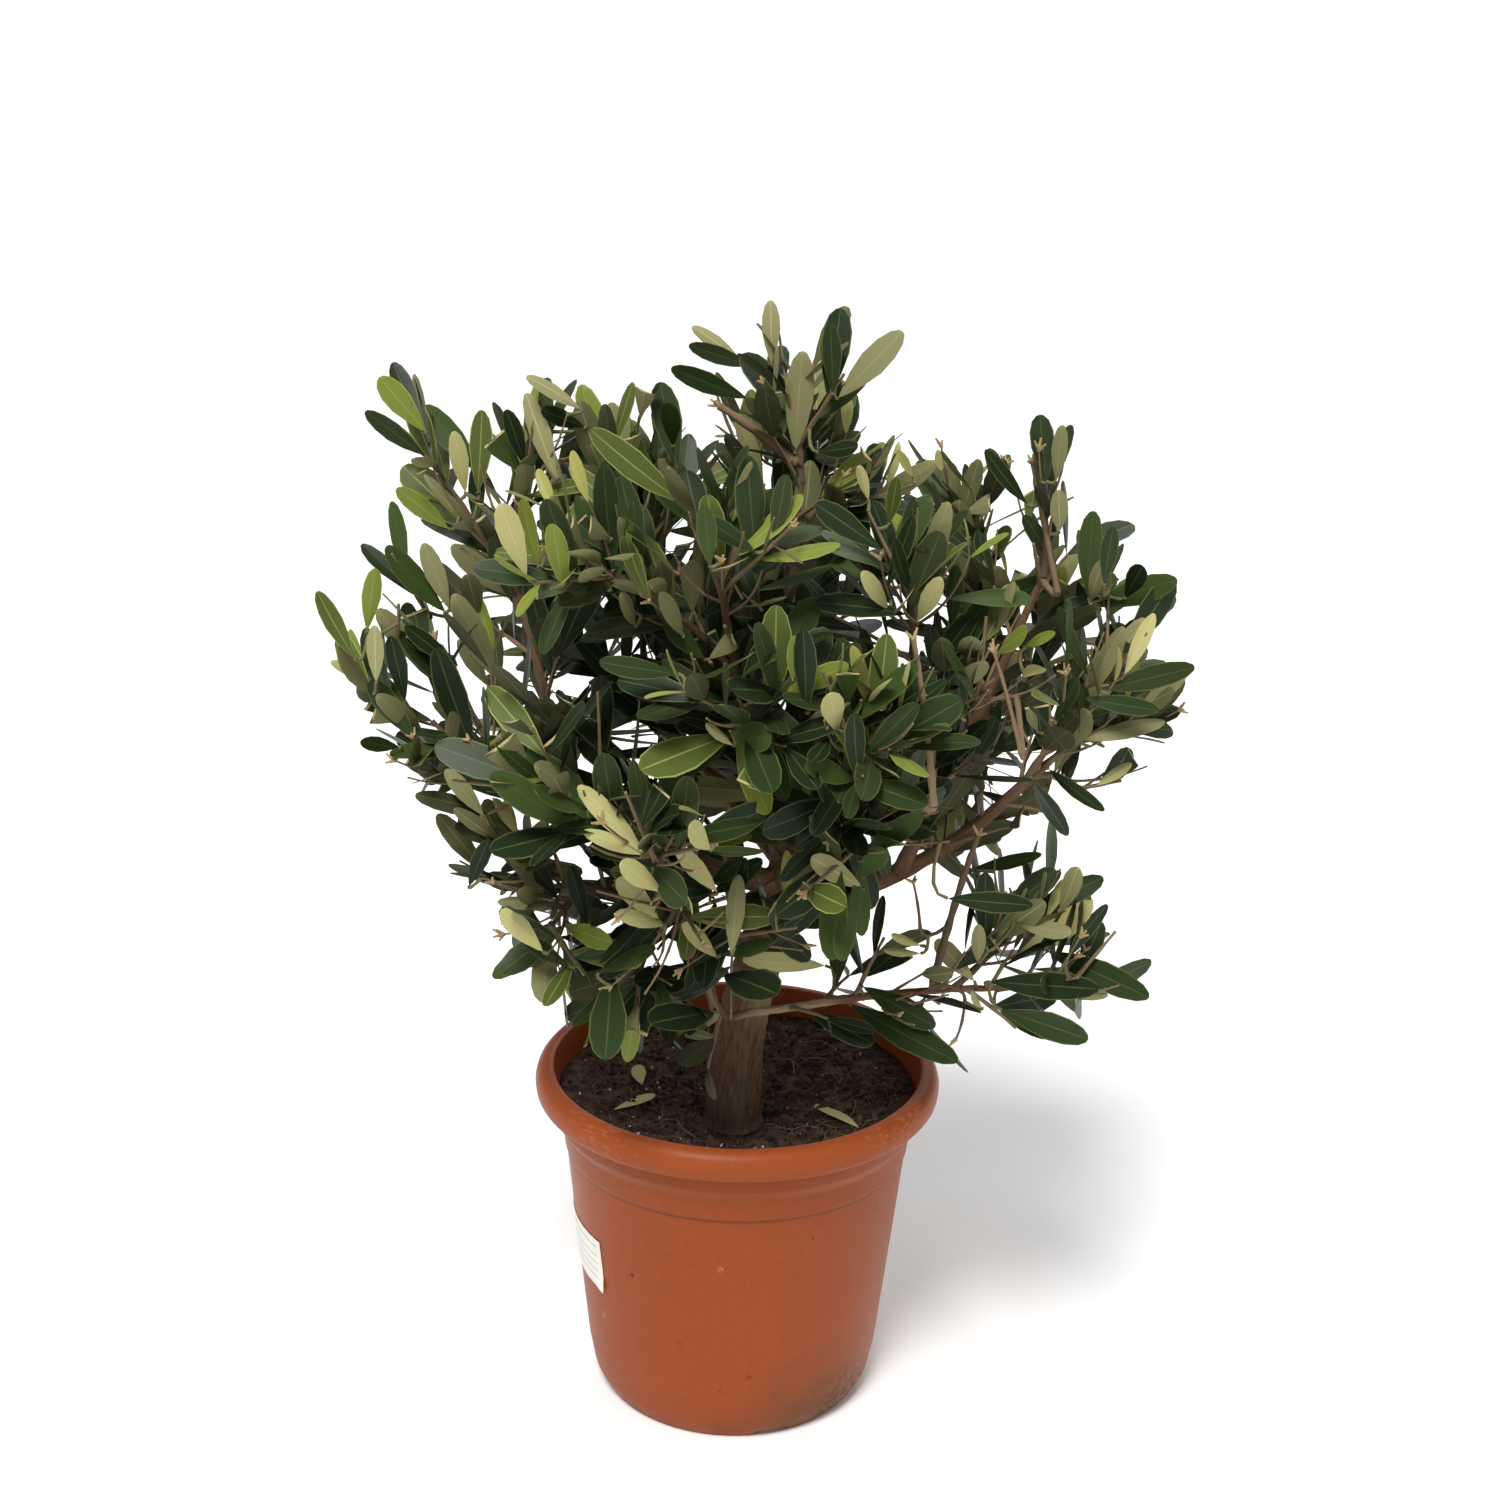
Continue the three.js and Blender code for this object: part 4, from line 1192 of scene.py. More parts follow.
crown = []
for number, (name, mass) in enumerate(zip(MASSES, masses)):
    grown = [short for short in map(trimmed, first_twigs(number)) if short]
    draw = seeded(mass.seed + FINE_SEED)
    stems = list(grown)
    count = SPARSE_MASSES.get(name, FINE_COUNT)
    finer_twigs(number, grown, grown[0], count, STEM_TWIG_LENGTHS, draw)
    for side in stems[1:]:
        finer_twigs(number, grown, side, SPRIG_COUNT, SPRIG_LENGTHS, draw)
    crown.append(grown)
print("twigs:", sum(len(grown) for grown in crown))

# %% [markdown]
# Some twigs and leaves stand out in the picture: bare twigs that the shears have
# left, pale sprays in front and big dark leaves below. They are placed one by one.
# A twig is three points of its run, its thickness and its colour. A thin stalk
# joins it to the nearest wood, and each leaf likewise, so that nothing floats.

# %% Twigs that stand out
SHOWN_TWIGS = [
    ((97, -150, 426), (91, -150, 471), (83, -150, 513), 1.9, 1),
    ((143, -120, 445), (135, -120, 473), (126, -120, 499), 1.2, 1),
    ((111, -45, 286), (120, -45, 329), (131, -45, 371), 2.3, 0),
    ((100, -60, 321), (98, -60, 335), (95, -60, 348), 0.9, 0),
    ((127, -60, 278), (126, -60, 264), (123, -60, 253), 0.9, 0),
    ((22, 0, 570), (2, 0, 586), (-18, 0, 599), 2.8, 1),
    ((173, 10, 497), (164, 10, 532), (155, 10, 569), 1.7, 1),
    ((-13, -75, 274), (-22, -75, 302), (-30, -75, 331), 2.2, 1),
    ((-104, -75, 389), (-130, -85, 410), (-157, -90, 428), 1.8, 1),
]
TWIG_DOTS = 20
LIMB_DOTS = 60
STALK_DOTS = 8
STALK_APPROACH = 0.45
STALK_TAPER = (1.2, 1.0)
SHOWN_TAPER = (1.0, 0.62)


def dots(run, count):
    """Evenly spaced points along a run."""
    return [run.point(i / count) for i in range(count + 1)]


shown_wood = [dot for limb in limbs.values() for dot in dots(limb, LIMB_DOTS)]
shown_wood += [dot for grown in crown for twig in grown for dot in dots(twig.run, TWIG_DOTS)]


def bent_through(start, middle, end):
    """A run that passes through the middle one of three points."""
    return Chain(start, 2 * middle - (start + end) / 2, end, 6)


def join_to_wood(place, ahead, radius, depth):
    """A stalk from the nearest wood to a place, which it reaches in a given direction."""
    wood_points = np.array(shown_wood)
    gaps = np.linalg.norm(wood_points - place, axis=1)
    start = wood_points[gaps.argmin()]
    run = Chain(start, place - ahead * gaps.min() * STALK_APPROACH, place, 4)
    shown_wood.extend(dots(run, STALK_DOTS))
    return Twig(run, radius, depth, STALK_TAPER)


shown_twigs = []
for *points, radius, depth in SHOWN_TWIGS:
    start, middle, end = (np.array(p, float) for p in points)
    run = bent_through(start, middle, end)
    shown_twigs.append(join_to_wood(start, run.ahead(0), radius, depth))
    shown_twigs.append(Twig(run, radius, depth, SHOWN_TAPER))
    shown_wood.extend(dots(run, TWIG_DOTS))
print(len(shown_twigs), "twigs that stand out")

# %% [markdown]
# Leaves follow. A pair leaves the twig at each node, every 15 mm or so, leaning out
# by 36 to 62 degrees, or less at the tip. The dark side faces the twig's tip or the
# light. A leaf that would touch another is turned a little and tried again, and left
# out if nothing fits. Leaf sizes are those of life: 33 to 61 mm long, and 24 to 34
# mm for the youngest.

# %% Leaves
NODE_PITCH = 15.5
BARE_SHARE = 0.16
LEAF_TRIES = 12
BLADE_ROOM = 4
NEIGHBOUR_CELL_ROOM = -0.34
LEAF_STATIONS = (0.3, 0.55, 0.8, 1.0)
BLADE_EDGE = 0.13
CUT_KIND = 5
YOUNG_KIND = 6
# Leaves within SHADY crown reaches of the crown's middle take the darkest tone, as painted shade. High
# leaves on the outside take the paler lit tones more often, as painted light.
SHADY = 0.62
SHOOT_TONES = (5, 6)
LIT_TONES = (4, 5)
FIRST_TONES = 4
SHOOT_SPLIT = 0.6
PALE_SHARE = 0.06
PALE_RISE = 0.2
PALE_HEIGHTS = (330, 590)
PALEST_SHARE = 0.4


class Leaf:
    """A leaf's foot, its directions, its size and the look that it is dealt."""

    def __init__(self, foot, way, face, length, kind, tone):
        self.foot = foot
        self.way = way
        self.face = unit(face - way * (face @ way))
        self.across = np.cross(way, self.face)
        self.length = length
        self.kind = kind
        self.tone = tone
        middle = [foot + way * length * s for s in LEAF_STATIONS]
        edge = self.across * length * BLADE_EDGE
        edges = [place + side * edge for place in middle[:2] for side in (1, -1)]
        self.blade = np.array(middle + edges)


def deal_tone(draw, height, outer, young):
    """A tone of green: yellow-green where a shoot is young, the darkest tone deep inside the crown as
    painted shade, and paler tones more often high on the outside as painted light.
    """
    if young:
        return SHOOT_TONES[0 if draw() < SHOOT_SPLIT else 1]
    # Painted light: high leaves towards the outside of the crown take a paler tone more often.
    low, high = PALE_HEIGHTS
    pale = PALE_SHARE + PALE_RISE * outer * max(0, min(1, (height - low) / (high - low)))
    pick = draw()
    if pick < pale:
        return LIT_TONES[1 if pick < pale * PALEST_SHARE else 0]
    tone = int(draw() * FIRST_TONES)
    # Painted shade: a leaf deep inside the crown takes the darkest tone.
    return 0 if outer < SHADY else tone


class Crowd:
    def __init__(self, pitch):
        self.pitch = pitch
        self.cells = {}

    def cell(self, point):
        return tuple(int(v // self.pitch) for v in point)

    def add(self, points):
        for point in points.tolist():
            self.cells.setdefault(self.cell(point), []).append(point)

    def free(self, points, room):
        for point in points.tolist():
            x, y, z = self.cell(point)
            for near in product((x - 1, x, x + 1), (y - 1, y, y + 1), (z - 1, z, z + 1)):
                if any(math.dist(point, other) < room for other in self.cells.get(near, ())):
                    return False
        return True


crowd = Crowd(BLADE_ROOM)
print("leaves can be told apart")

# %% [markdown]
# The leaves that stand out come next: foot, tip, tone, the side that shows and the
# kind. The leaves that the rule grows later keep out of their way towards the front.

# %% Leaves that stand out
SHOWN_LEAVES = [
    (-174, -21, 585, -197, -28, 615, 5, 1, 3), (-175, -20, 572, -206, -30, 598, 3, 1, 2),
    (-156, -1, 548, -161, -3, 582, 5, -1, 0), (-149, -3, 549, -145, -4, 595, 4, 1, 0),
    (-122, -23, 564, -147, -29, 596, 2, 1, 5), (-121, -25, 569, -127, -37, 600, 0, 1, 4),
    (-104, -24, 562, -120, -28, 607, 4, -1, 2), (-90, -7, 587, -113, -28, 600, 0, 1, 0),
    (-91, -24, 600, -116, -36, 620, 4, -1, 2), (-60, -13, 595, -55, -35, 620, 4, -1, 5),
    (-43, 12, 574, -45, -9, 601, 2, 1, 3), (-34, -96, 567, -83, -106, 604, 4, 1, 2),
    (-108, -148, 540, -121, -151, 577, 6, -1, 3), (-104, -131, 541, -114, -133, 576, 5, 1, 2),
    (-163, -20, 532, -190, -28, 556, 5, 1, 0), (-165, -24, 486, -197, -32, 524, 2, 1, 0),
    (-163, -25, 489, -176, -27, 525, 2, -1, 0), (-147, -24, 484, -151, -40, 513, 1, -1, 3),
    (-128, -13, 487, -140, -14, 528, 1, 1, 0), (-158, -41, 462, -185, -47, 484, 0, 1, 0),
    (-155, 83, 411, -171, 78, 441, 3, -1, 0), (-147, 74, 417, -151, 75, 453, 1, -1, 2),
    (-134, 40, 416, -147, 17, 437, 4, -1, 0), (-203, -57, 484, -198, -56, 519, 5, 1, 0),
    (-198, -62, 457, -197, -70, 490, 4, -1, 0), (-208, -69, 472, -228, -73, 510, 4, 1, 2),
    (-185, -47, 442, -192, -46, 479, 0, 1, 0), (-148, -49, 412, -169, -49, 475, 0, 1, 0),
    (-157, -54, 421, -155, -78, 445, 2, -1, 0), (-185, -72, 424, -205, -97, 435, 1, 1, 2),
    (-69, -115, 552, -83, -141, 568, 3, -1, 5), (-28, -89, 507, -29, -101, 539, 3, -1, 3),
    (-18, -154, 549, -21, -162, 582, 2, 1, 0), (-32, -112, 501, -42, -130, 528, 2, -1, 0),
    (-24, -77, 502, 7, -80, 528, 0, 1, 5), (-19, -98, 485, 1, -114, 508, 3, -1, 5),
    (-21, -99, 485, -41, -113, 509, 2, 1, 3), (-57, -99, 502, -62, -123, 525, 4, -1, 0),
    (-33, -152, 493, -72, -162, 500, 1, 1, 0), (-5, -134, 450, -20, -142, 464, 5, -1, 6),
    (-68, -112, 535, -75, -114, 592, 1, 1, 0), (4, -128, 550, -24, -132, 569, 1, 1, 0),
    (162, 1, 561, 156, 0, 598, 1, 1, 3), (167, -1, 562, 167, -10, 594, 3, -1, 0),
    (154, 16, 545, 126, 15, 574, 0, 1, 2), (172, 16, 511, 153, 21, 538, 1, 1, 0),
    (172, 10, 531, 168, -11, 558, 4, -1, 0), (193, 28, 489, 191, 28, 540, 2, 1, 0),
    (197, -2, 505, 199, -5, 539, 1, 1, 0), (194, 26, 487, 196, 7, 515, 4, -1, 0),
    (194, 24, 485, 240, 9, 506, 2, 1, 0), (212, 15, 493, 216, -9, 517, 0, 1, 3),
    (210, -16, 457, 223, -18, 492, 6, -1, 2), (198, -12, 447, 248, -29, 466, 3, 1, 0),
    (189, -9, 441, 230, -28, 439, 1, 1, 2), (191, -4, 414, 232, -17, 433, 2, -1, 2),
    (60, 58, 562, 36, 34, 565, 0, 1, 3), (29, -1, 520, 33, -2, 570, 1, -1, 0),
    (68, -105, 547, 34, -108, 571, 0, 1, 3), (61, -90, 569, 55, -96, 589, 6, -1, 6),
    (88, -11, 565, 79, -23, 581, 6, 1, 6), (72, -89, 557, 75, -104, 587, 4, 1, 2),
    (125, 89, 522, 147, 69, 538, 3, -1, 5), (149, 100, 494, 148, 77, 520, 5, 1, 0),
    (73, -99, 514, 59, -118, 538, 5, -1, 0), (88, -102, 509, 97, -120, 536, 6, -1, 0),
    (126, 63, 470, 180, 48, 495, 1, 1, 0), (108, -69, 496, 110, -69, 531, 1, 1, 0),
    (130, -99, 492, 141, -124, 512, 5, 1, 3), (146, -83, 491, 159, -96, 503, 5, 1, 6),
    (31, -162, 478, 29, -160, 521, 0, 1, 0), (52, -155, 481, 50, -170, 511, 2, 1, 5),
    (46, -174, 472, 41, -194, 499, 5, -1, 3), (61, -163, 457, 86, -165, 485, 1, 1, 0),
    (39, 68, 386, 14, 50, 400, 2, 1, 3), (99, -53, 410, 133, -58, 441, 0, 1, 0),
    (174, -9, 427, 184, -20, 457, 1, 1, 0), (166, 1, 417, 158, -10, 435, 3, -1, 6),
    (10, 9, 621, 9, 7, 655, 4, -1, 0), (24, -3, 575, 26, -6, 630, 3, -1, 3),
    (43, -21, 611, 41, -24, 649, 1, 1, 0), (46, -18, 608, 78, -26, 645, 3, -1, 3),
    (0, 68, 609, -38, 59, 622, 3, 1, 2), (-7, 68, 612, -34, 67, 632, 4, -1, 2),
    (-3, 67, 591, -48, 57, 609, 1, 1, 2), (36, -20, 579, 58, -44, 587, 0, 1, 0),
    (173, -2, 396, 202, -24, 376, 0, 1, 2), (164, -2, 389, 184, -25, 363, 0, 1, 2),
    (-150, -64, 341, -138, -69, 372, 0, 1, 0), (-105, -110, 323, -127, -112, 348, 6, -1, 3),
    (-92, -97, 309, -117, -106, 329, 3, 1, 0), (-84, -76, 325, -94, -70, 357, 0, 1, 0),
    (-140, -71, 385, -160, -72, 412, 2, -1, 0), (-119, -16, 352, -123, -42, 374, 4, -1, 3),
    (-69, -100, 307, -68, -157, 286, 1, 1, 1), (64, -45, 266, 124, -79, 245, 1, 1, 0),
    (70, -48, 279, 111, -70, 265, 1, 1, 0), (142, -44, 282, 203, -67, 289, 0, 1, 0),
    (177, -19, 291, 234, -52, 278, 1, 1, 3), (148, -60, 272, 195, -83, 266, 1, 1, 3),
    (148, -41, 264, 175, -60, 252, 2, 1, 2), (183, -17, 314, 191, -25, 346, 4, -1, 3),
    (156, -45, 318, 184, -63, 320, 2, -1, 3), (138, -52, 307, 136, -46, 350, 0, 1, 0),
    (134, -37, 279, 111, -34, 303, 4, -1, 3), (101, -59, 305, 80, -62, 307, 6, -1, 6),
    (101, -57, 309, 83, -65, 318, 5, -1, 6), (49, -29, 283, 3, -38, 289, 5, -1, 2),
    (-12, -103, 319, -29, -117, 344, 5, -1, 0), (-40, -120, 344, -63, -140, 359, 5, -1, 0),
    (-43, -114, 345, -65, -118, 370, 5, -1, 3), (-39, -173, 385, -60, -188, 406, 5, -1, 3),
    (-15, -178, 410, -26, -202, 432, 6, -1, 3), (-12, -123, 365, -33, -128, 391, 6, -1, 0),
    (29, -14, 352, -6, -19, 364, 2, 1, 3), (-49, -160, 400, -79, -161, 437, 5, -1, 2),
    (-49, -159, 399, -77, -169, 415, 5, -1, 2), (16, -34, 388, -48, -48, 400, 4, -1, 0),
    (64, -128, 371, 36, -133, 390, 4, -1, 3), (-10, -102, 320, 19, -114, 333, 2, 1, 0),
    (-8, -94, 305, 18, -153, 325, 0, 1, 1), (-19, -50, 283, -54, -91, 300, 0, 1, 1),
    (-75, -109, 311, -44, -110, 327, 2, 1, 0), (-13, -83, 277, -43, -138, 299, 0, 1, 1),
    (134, -51, 297, 132, -71, 324, 2, -1, 2), (136, -69, 277, 127, -82, 293, 4, -1, 6),
    (-4, -129, 332, -2, -123, 374, 3, -1, 2), (64, -126, 377, 72, -149, 401, 2, 1, 3),
    (131, -15, 339, 171, -27, 350, 1, 1, 2), (108, -134, 369, 152, -150, 372, 0, 1, 2),
]
SIGHT_LENGTH = 100
SIGHT_ROOM = 8
SIGHT_START = 5
SIGHT_SHARES = (0.35, 0.65, 0.95)
SHOWN_SEED = 909
SHOWN_RISE = 0.35
SHOWN_TWIST = 0.9
LONG_LEAF = 44
LONGEST_LEAF = 56
BARE_LENGTH = 180

# Limbs that show, and between which shares of them
BARE_WOOD = {"trunk": (0.3, 0.62), "low_right": (0.3, 0.8), "right": (0.5, 0.85),
             "right_top": (0.3, 0.8)}

shown_leaves = []
sight_starts, sight_ends = [], []
for name, (low, high) in BARE_WOOD.items():
    for share in np.linspace(low, high, 8):
        place = limbs[name].point(share)
        to_viewer = unit(VIEWER - place)
        sight_starts.append(place)
        sight_ends.append(place + BARE_LENGTH * to_viewer)
draw = seeded(SHOWN_SEED)
for number, row in enumerate(SHOWN_LEAVES):
    foot, tip = np.array(row[:3], float), np.array(row[3:6], float)
    tone, side, kind = row[6:]
    length = float(np.linalg.norm(tip - foot))
    if kind in (0, 3) and length > LONG_LEAF:
        kind = 2 if length > LONGEST_LEAF else 0
    way = (tip - foot) / length
    to_viewer = unit(VIEWER - foot)
    twist = (draw() - 0.5) * SHOWN_TWIST * np.cross(way, to_viewer)
    face = side * (to_viewer + SHOWN_RISE * UP) + twist
    shown_twigs.append(join_to_wood(foot, way, FINE_RADIUS, 2))
    leaf = Leaf(foot, way, face, length, kind, tone)
    shown_leaves.append(leaf)
    crowd.add(leaf.blade[1:])
    for share in SIGHT_SHARES:
        place = foot + way * length * share
        sight_starts.append(place + SIGHT_START * to_viewer)
        sight_ends.append(place + SIGHT_LENGTH * to_viewer)
sight_starts, sight_ends = np.array(sight_starts), np.array(sight_ends)
print(len(shown_leaves), "leaves that stand out")


def hides_nothing(points):
    """True where none of the points stands before a leaf that stands out."""
    distance, t = nearest_links(points, sight_starts, sight_ends)
    return distance.min() > SIGHT_ROOM


# %% [markdown]
# Now the rule's own leaves grow along every twig. Two thirds of them turn their
# dark side up and outwards, to the light.

# %% Leaves along the twigs
CROWN_MIDDLE = np.array([15, 0, 380])
CROWN_REACH = 200
LIT_SHARE = 0.66
STEM_BARE_SHARE = 0.3
YOUNG_SHARE = 0.3
UNCUT_SHARE = 0.45
LEAF_SEED = 1500
LEAF_LIFT = 0.28
LEAF_TWIST = 0.9
FACE_RISE = 0.25
WANDER_TURN = 2.2
LAST_FOOT = 0.98
PAIR_STEP = 0.012
TRIED_SIZE = 1.04
TRIED_DROP = 0.25
LIT_OWN, LIT_RISE, LIT_OUT = 0.4, 0.5, 0.9

# Ranges of draws: the least, and how much more there may be
TIP_SPREAD = (24, 14)
SIDE_SPREAD = (36, 26)
YOUNG_LENGTHS = (24, 10)
GROWN_LENGTHS = (42, 20)


def grow_leaves(twig, fits, draw):
    """Opposite pairs of leaves along one twig."""
    length = twig.run.length()
    pairs = max(2, round(length / NODE_PITCH))
    offset = draw() * math.pi
    leaves = []
    for i in range(1, pairs + 1):
        share = i / pairs
        if share < BARE_SHARE or twig.depth == 0 and share < STEM_BARE_SHARE:
            continue
        ahead = twig.run.ahead(share)
        last = i == pairs
        young = twig.depth > 0 and last and draw() < YOUNG_SHARE
        for side in (0, math.pi):
            turn = offset + i * math.pi / 2 + side
            foot = twig.run.point(min(share, LAST_FOOT) - PAIR_STEP * (side > 0))

            def make(wander):
                out = sideways(ahead, turn + (draw() - 0.5) * wander * WANDER_TURN)
                spread = math.radians(dealt(draw, *(TIP_SPREAD if last else SIDE_SPREAD)))
                way = leaning(ahead, out, spread, LEAF_LIFT * draw())
                size = dealt(draw, *(YOUNG_LENGTHS if young else GROWN_LENGTHS))
                if not young:
                    size *= TRIED_SIZE - TRIED_DROP * wander
                kind = YOUNG_KIND if young else int(draw() * YOUNG_KIND)
                if kind == CUT_KIND and draw() < UNCUT_SHARE:
                    kind = 0
                outward = (foot - CROWN_MIDDLE) / CROWN_REACH
                twist = (draw() - 0.5) * LEAF_TWIST * np.cross(ahead, out)
                face = ahead + twist + FACE_RISE * UP
                if draw() < LIT_SHARE:
                    face = LIT_OWN * face + LIT_RISE * UP + LIT_OUT * outward
                outer = float(np.linalg.norm(outward))
                return Leaf(foot, way, face, size, kind, deal_tone(draw, foot[2], outer, young))

            def clear(leaf):
                blade = leaf.blade
                return (crowd.free(blade[1:], BLADE_ROOM) and out_of_views(blade)
                        and hides_nothing(blade) and fits(blade))

            leaf = first_that_fits(clear, make, LEAF_TRIES)
            if leaf:
                leaves.append(leaf)
                crowd.add(leaf.blade[1:])
    return leaves


foliage = []
for number, grown in enumerate(crown):
    draw = seeded(masses[number].seed + LEAF_SEED)

    def fits(blade):
        return in_space(blade, number, NEIGHBOUR_CELL_ROOM)

    foliage.append([leaf for twig in grown for leaf in grow_leaves(twig, fits, draw)])
print("leaves:", sum(len(leaves) for leaves in foliage))

# %% [markdown]
# Old wood inside the crown isn't bare either. Short spurs on the boughs carry a few leaves, which close
# the view between the masses. All of them take the darkest tone, which is painted shade deep in the
# crown.

# %% Spurs on the boughs
SPUR_PITCH = 12
SPUR_START = 0.3
SPUR_LIFT = 0.2
SPUR_LENGTHS = (24, 26)
SPUR_SEED = 4242
SPUR_TURN = 2
SPUR_BOW = 2
SPUR_SPREAD = 1.1
SPUR_CLOSER = 0.3

spurs = []
spur_leaves = []
draw = seeded(SPUR_SEED)
for limb in list(limbs.values())[1:]:
    length = float(stretch_lengths(limb.links).sum())
    count = int(length * (1 - SPUR_START) / SPUR_PITCH)
    for i in range(count):
        share = SPUR_START + (1 - SPUR_START) * (i + 0.5) / count
        ahead, start = limb.ahead(share), limb.point(share)

        def make(wander):
            out = sideways(ahead, i * GOLDEN_TURN + draw() * SPUR_TURN)
            way = leaning(ahead, out, SPUR_SPREAD - SPUR_CLOSER * draw(), SPUR_LIFT)
            end = start + way * dealt(draw, *SPUR_LENGTHS)
            return Twig(Chain(start, (start + end) / 2 + UP * SPUR_BOW, end, 4), SIDE_RADIUS, 1)

        def clear(twig):
            return in_crown(twig.links[2:]) and out_of_views(twig.links)

        twig = first_that_fits(clear, make, FINE_TRIES)
        if twig:
            spurs.append(twig)
            spur_leaves += grow_leaves(twig, in_crown, draw)
# Painted shade: every spur leaf takes the darkest tone.
for leaf in spur_leaves:
    leaf.tone = 0
print(len(spurs), "spurs with", len(spur_leaves), "leaves")

# %% [markdown]
# Shears and old fruit leave their marks: a clipped tip carries a few short, pale
# stalks that spread like a small hand.

# %% Clipped tips
CLIPPED_SHARE = 0.24
STALK_RADIUS = 0.9
STALK_TONE = 3
STALK_SPREAD = (0.3, 0.7)
STALK_LENGTHS = (3, 4)
STALK_SEED = 616
STALK_COUNTS = (2, 4)

stalks = []
draw = seeded(STALK_SEED)
tips = [twig for grown in crown for twig in grown if twig.depth and draw() < CLIPPED_SHARE]
for twig in tips + shown_twigs[1:2 * len(SHOWN_TWIGS):2]:
    end, ahead = twig.run.point(1), twig.run.ahead(1)
    for i in range(STALK_COUNTS[0] + int(draw() * STALK_COUNTS[1])):
        way = leaning(ahead, sideways(ahead, i * GOLDEN_TURN), dealt(draw, *STALK_SPREAD), 0)
        far = end + way * dealt(draw, *STALK_LENGTHS)
        stalks.append(Twig(Chain(end, (end + far) / 2, far, 1), STALK_RADIUS, STALK_TONE))
print(len(stalks), "clipped stalks")

# %% [markdown]
# ## The shape of one leaf
# An olive leaf is a narrow, leathery oval on a short stalk. Its top is dark and
# glossy with a sunken midrib and a thin pale edge, and its underside is pale, matt
# and has a raised rib. One leaf is a closed, lens-thin mesh of a few dozen faces,
# a metre long so that its scale is its length. Seven kinds differ in outline, fold
# and bend, and one of them was cut square by the shears.

# %% Leaf kinds
LEAF_ROWS = (0.1, 0.3, 0.53, 0.75, 0.91, 0.985)
RIB_HALF = 0.05
EDGE_START = 0.91
TOP_COLUMNS = (-1, -EDGE_START, -RIB_HALF, RIB_HALF, EDGE_START, 1)
LOW_COLUMNS = (-1, -RIB_HALF, RIB_HALF, 1)
LEAF_THICKNESS = 0.012
RIB_DEPTH = 0.006
TOP_SKIN, RIB_SKIN, EDGE_SKIN, LOW_SKIN, LOW_RIB_SKIN, CUT_SKIN = range(6)
CUT_EDGE_START = 0.95
CUT_MIDDLE = 0.985
STALK_SHARE = 0.12
STALK_CURVE = 1.25
TIP_CURVE = 2.3
FOLD_CURVE = 1.6

TOP_SKINS = (EDGE_SKIN, TOP_SKIN, RIB_SKIN, TOP_SKIN, EDGE_SKIN)
LOW_SKINS = (LOW_SKIN, LOW_RIB_SKIN, LOW_SKIN)

# Width as a share of the length, where it is widest, fold, bend, twist, cut
KINDS = [
    (0.30, 0.56, -0.07, 0.06, 0.03, 1),
    (0.34, 0.62, 0.08, -0.07, -0.06, 1),
    (0.25, 0.52, 0.12, 0.14, 0.08, 1),
    (0.36, 0.64, -0.06, -0.03, 0.0, 1),
    (0.31, 0.58, 0.09, -0.13, 0.10, 1),
    (0.34, 0.60, 0.06, 0.05, 0.0, 0.62),
    (0.27, 0.54, 0.24, -0.06, 0.0, 1),
]


def leaf_half_width(along, width, widest):
    """Half the width of the leaf at a share of its length, from stalk to blunt tip."""
    if along < widest:
        rise = math.sin(math.pi / 2 * (along / widest) ** STALK_CURVE)
        return width / 2 * (STALK_SHARE + (1 - STALK_SHARE) * rise)
    return width / 2 * math.sqrt(max(0, 1 - ((along - widest) / (1.0 - widest)) ** TIP_CURVE))


def leaf_point(along, side, lift, kind):
    """A point of the leaf: along its length, across it from -1 to 1, and above its middle."""
    width, widest, fold, bend, twist, cut = kind
    half = leaf_half_width(along * cut, width, widest)
    turn = twist * 2 * along
    x, z = side * half, fold * abs(side) ** FOLD_CURVE * half + lift
    x, z = x * math.cos(turn) - z * math.sin(turn), x * math.sin(turn) + z * math.cos(turn)
    return (x, along * cut, z + bend * (along * cut) ** 2)


def leaf_mesh(name, kind):
    """A closed leaf with its stalk at the origin, its length along Y and its top along Z."""
    mesh = bmesh.new()
    skin = mesh.faces.layers.int.new("skin")
    stalk = mesh.verts.new(leaf_point(0, 0, 0, kind))
    whole = kind[-1] == 1
    tip = mesh.verts.new(leaf_point(1 if whole else CUT_MIDDLE, 0, 0, kind))
    rows = LEAF_ROWS if whole else (*LEAF_ROWS[:-2], CUT_EDGE_START, 1)
    sheets = []
    for columns, sign in ((TOP_COLUMNS, 1), (LOW_COLUMNS, -1)):
        sheet = []
        for along in rows:
            row = []
            for side in columns:
                if sign < 0 and abs(side) == 1:
                    row.append(sheets[0][len(sheet)][0 if side < 0 else -1])
                    continue
                lift = sign * LEAF_THICKNESS / 2 * (1 - side * side)
                if abs(side) == RIB_HALF:
                    lift -= RIB_DEPTH
                row.append(mesh.verts.new(leaf_point(along, side, lift, kind)))
            sheet.append(row)
        sheets.append(sheet)
    for sheet, sign in zip(sheets, (1, -1)):
        lines = [[stalk] * len(sheet[0]), *sheet, [tip] * len(sheet[0])]
        for number, (low, high) in enumerate(zip(lines, lines[1:])):
            cut_edge = not whole and number >= len(rows) - 1
            for i in range(len(low) - 1):
                corners = list(dict.fromkeys([low[i], low[i + 1], high[i + 1], high[i]]))
                face = mesh.faces.new(corners if sign > 0 else corners[::-1])
                face.smooth = True
                face[skin] = CUT_SKIN if cut_edge else (TOP_SKINS if sign > 0 else LOW_SKINS)[i]
    under = set(LOW_SKINS)
    for edge in mesh.edges:
        edge.smooth = len({face[skin] in under for face in edge.link_faces}) == 1
    return written(mesh, name)


